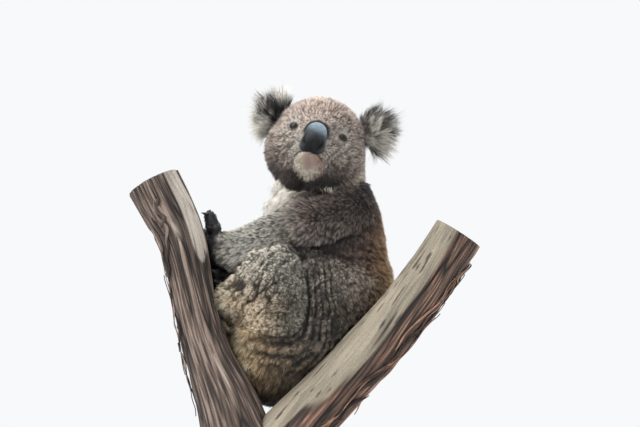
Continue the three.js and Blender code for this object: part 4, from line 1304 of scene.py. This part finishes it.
def build_perch():
    material = coloured("perch_bark", 0.85, 0.38, 1.1, 420.0, rough_range=(0.72, 0.95))
    stem, branch = Wood(STEM), Wood(BRANCH)
    limbs = {
        "stem": (stem, 0.9, stem_bare, STEM_BARK, 21, stem_hold, STEM_CUT),
        "branch": (branch, 1.6, branch_bare, BRANCH_BARK, 31, branch_hold, BRANCH_CUT),
    }
    for name, (*look, cut) in limbs.items():
        mesh = sawn(mesh_of(f"bark_{name}", *bark_surface(*look)), [FOOT_CUT, cut])
        piece(mesh, material, "bark", f"perch_{name}")

    # Strips: how many, where along the limb and round it they start, their steps, turn and seed.
    strips = []
    rows = [
        (stem, STEM_BARK, 10, 0.2, 0.065, -2.3, 0.13, 0.2, 40),
        (branch, BRANCH_BARK, 18, 0.12, 0.04, 0.35, 0.02, 0.4, 60),
    ]
    for wood, (dark, body, light, *_), count, first, spacing, angle, apart, turn, seed in rows:
        for k in range(count):
            start = first + spacing * k + 0.03 * random.random()
            end = min(start + random.uniform(0.18, 0.42), 0.9)
            lifts = random.uniform(0, 5, 2)
            tint = (body, dark, light)[k % 3] * random.uniform(0.5, 1.1)
            around = angle + apart * k + random.uniform(0, 0.8)
            strips.append(peeling(wood, start, end, around, random.uniform(4, 10), turn, lifts, tint, seed + k))
    piece(mesh_of("bark_strips", *gathered(strips)), material, "bark")


# ---------------------------------------------------------------- the stand
PLINTH_CORNER = 26
PLINTH_EDGE = [(9, 0), (1.5, 0), (0, 1.5), (0, 17), (0.6, 18.6), (1.8, 19.6), (3.4, 20), (9, 20)]  # inset and height
ROD_RADIUS = 8
ROD_END = [(11, 5.2), (8.6, 7), (ROD_RADIUS, 9)]  # radius and height, above the flange


def build_plinth():
    low, high = box("stand_base")
    centre, size = (low + high) / 2, (high - low)[:2] / 2 - PLINTH_CORNER * MM
    turn = circle(64, math.pi / 64)
    way = np.stack([np.cos(turn), np.sin(turn)], axis=1)
    bm = bmesh.new()
    rows = []
    for inset, z in PLINTH_EDGE:
        flat = centre[:2] + np.sign(way) * size + way * (PLINTH_CORNER - inset) * MM
        rows.append([bm.verts.new((*point, low[2] + z * MM)) for point in flat])
    for a, b in zip(rows, rows[1:]):
        for s in range(len(turn)):
            following = (s + 1) % len(turn)
            bm.faces.new((a[s], a[following], b[following], b[s]))
    bm.faces.new(rows[0][::-1])
    bm.faces.new(rows[-1])
    mesh = bpy.data.meshes.new("plinth")
    bm.to_mesh(mesh)
    bm.free()
    gloss = {"Coat_Weight": 0.25, "Coat_Roughness": 0.25}
    wood = grained("stand_wood", 0.38, tone(44, 30, 22), tone(92, 64, 44), 0.12, 60.0, (0.08, 1, 1), 8.0, **gloss)
    piece(mesh, wood, "stand_wood", "stand_base")


def build_rods():
    pale, bright = (0.42, 0.43, 0.45), (0.62, 0.63, 0.65)
    steel = grained("stand_steel", 0.32, pale, bright, 0.08, 300.0, (1, 1, 0.05), 3.0, Metallic=1.0)
    for n in (1, 2):
        low, high = box(f"stand_rod_{n}")
        centre, flange, tall = (low + high) / 2, (high - low)[0] / 2 / MM, (high - low)[2] / MM
        half = [(flange - 1, 0), (flange, 1), (flange, 4), (flange - 1.2, 5), *ROD_END, (ROD_RADIUS, tall / 2)]
        profile = np.array(half + [(radius, tall - z) for radius, z in half[::-1][1:]])
        points, quads = turned((*centre[:2], low[2]), profile * [MM, 1], 48)
        piece(mesh_of(f"post_{n}", points, quads), steel, "stand_steel", f"stand_rod_{n}")


# ---------------------------------------------------------------- everything
def build_skin(skin, colours):
    """The skin under the coat is painted darker than the hair, as the shade down among the tufts, but not where it is
    bare.
    """
    bare = np.maximum(skin.bare_paw, ramp(skin.off_lid, 1.9, 1.4))[:, None]
    material = coloured("skin_surface", 0.75, 0.3, 0.6, 520.0, rough_range=(0.55, 0.85))
    mesh = mesh_of("skin", skin.points, skin.triangles, colours * blend(0.36, 1.0, bare))
    piece(mesh, material, "coat_back", *FLESH)


stage()
skin = Skin()
colours = markings(skin)
build_skin(skin, colours)
build_coat(skin, colours, coloured("coat_hair", 0.62, 0.10, 0, 900.0))
build_eyes()
build_nose()
build_claws()
build_perch()
build_plinth()
build_rods()
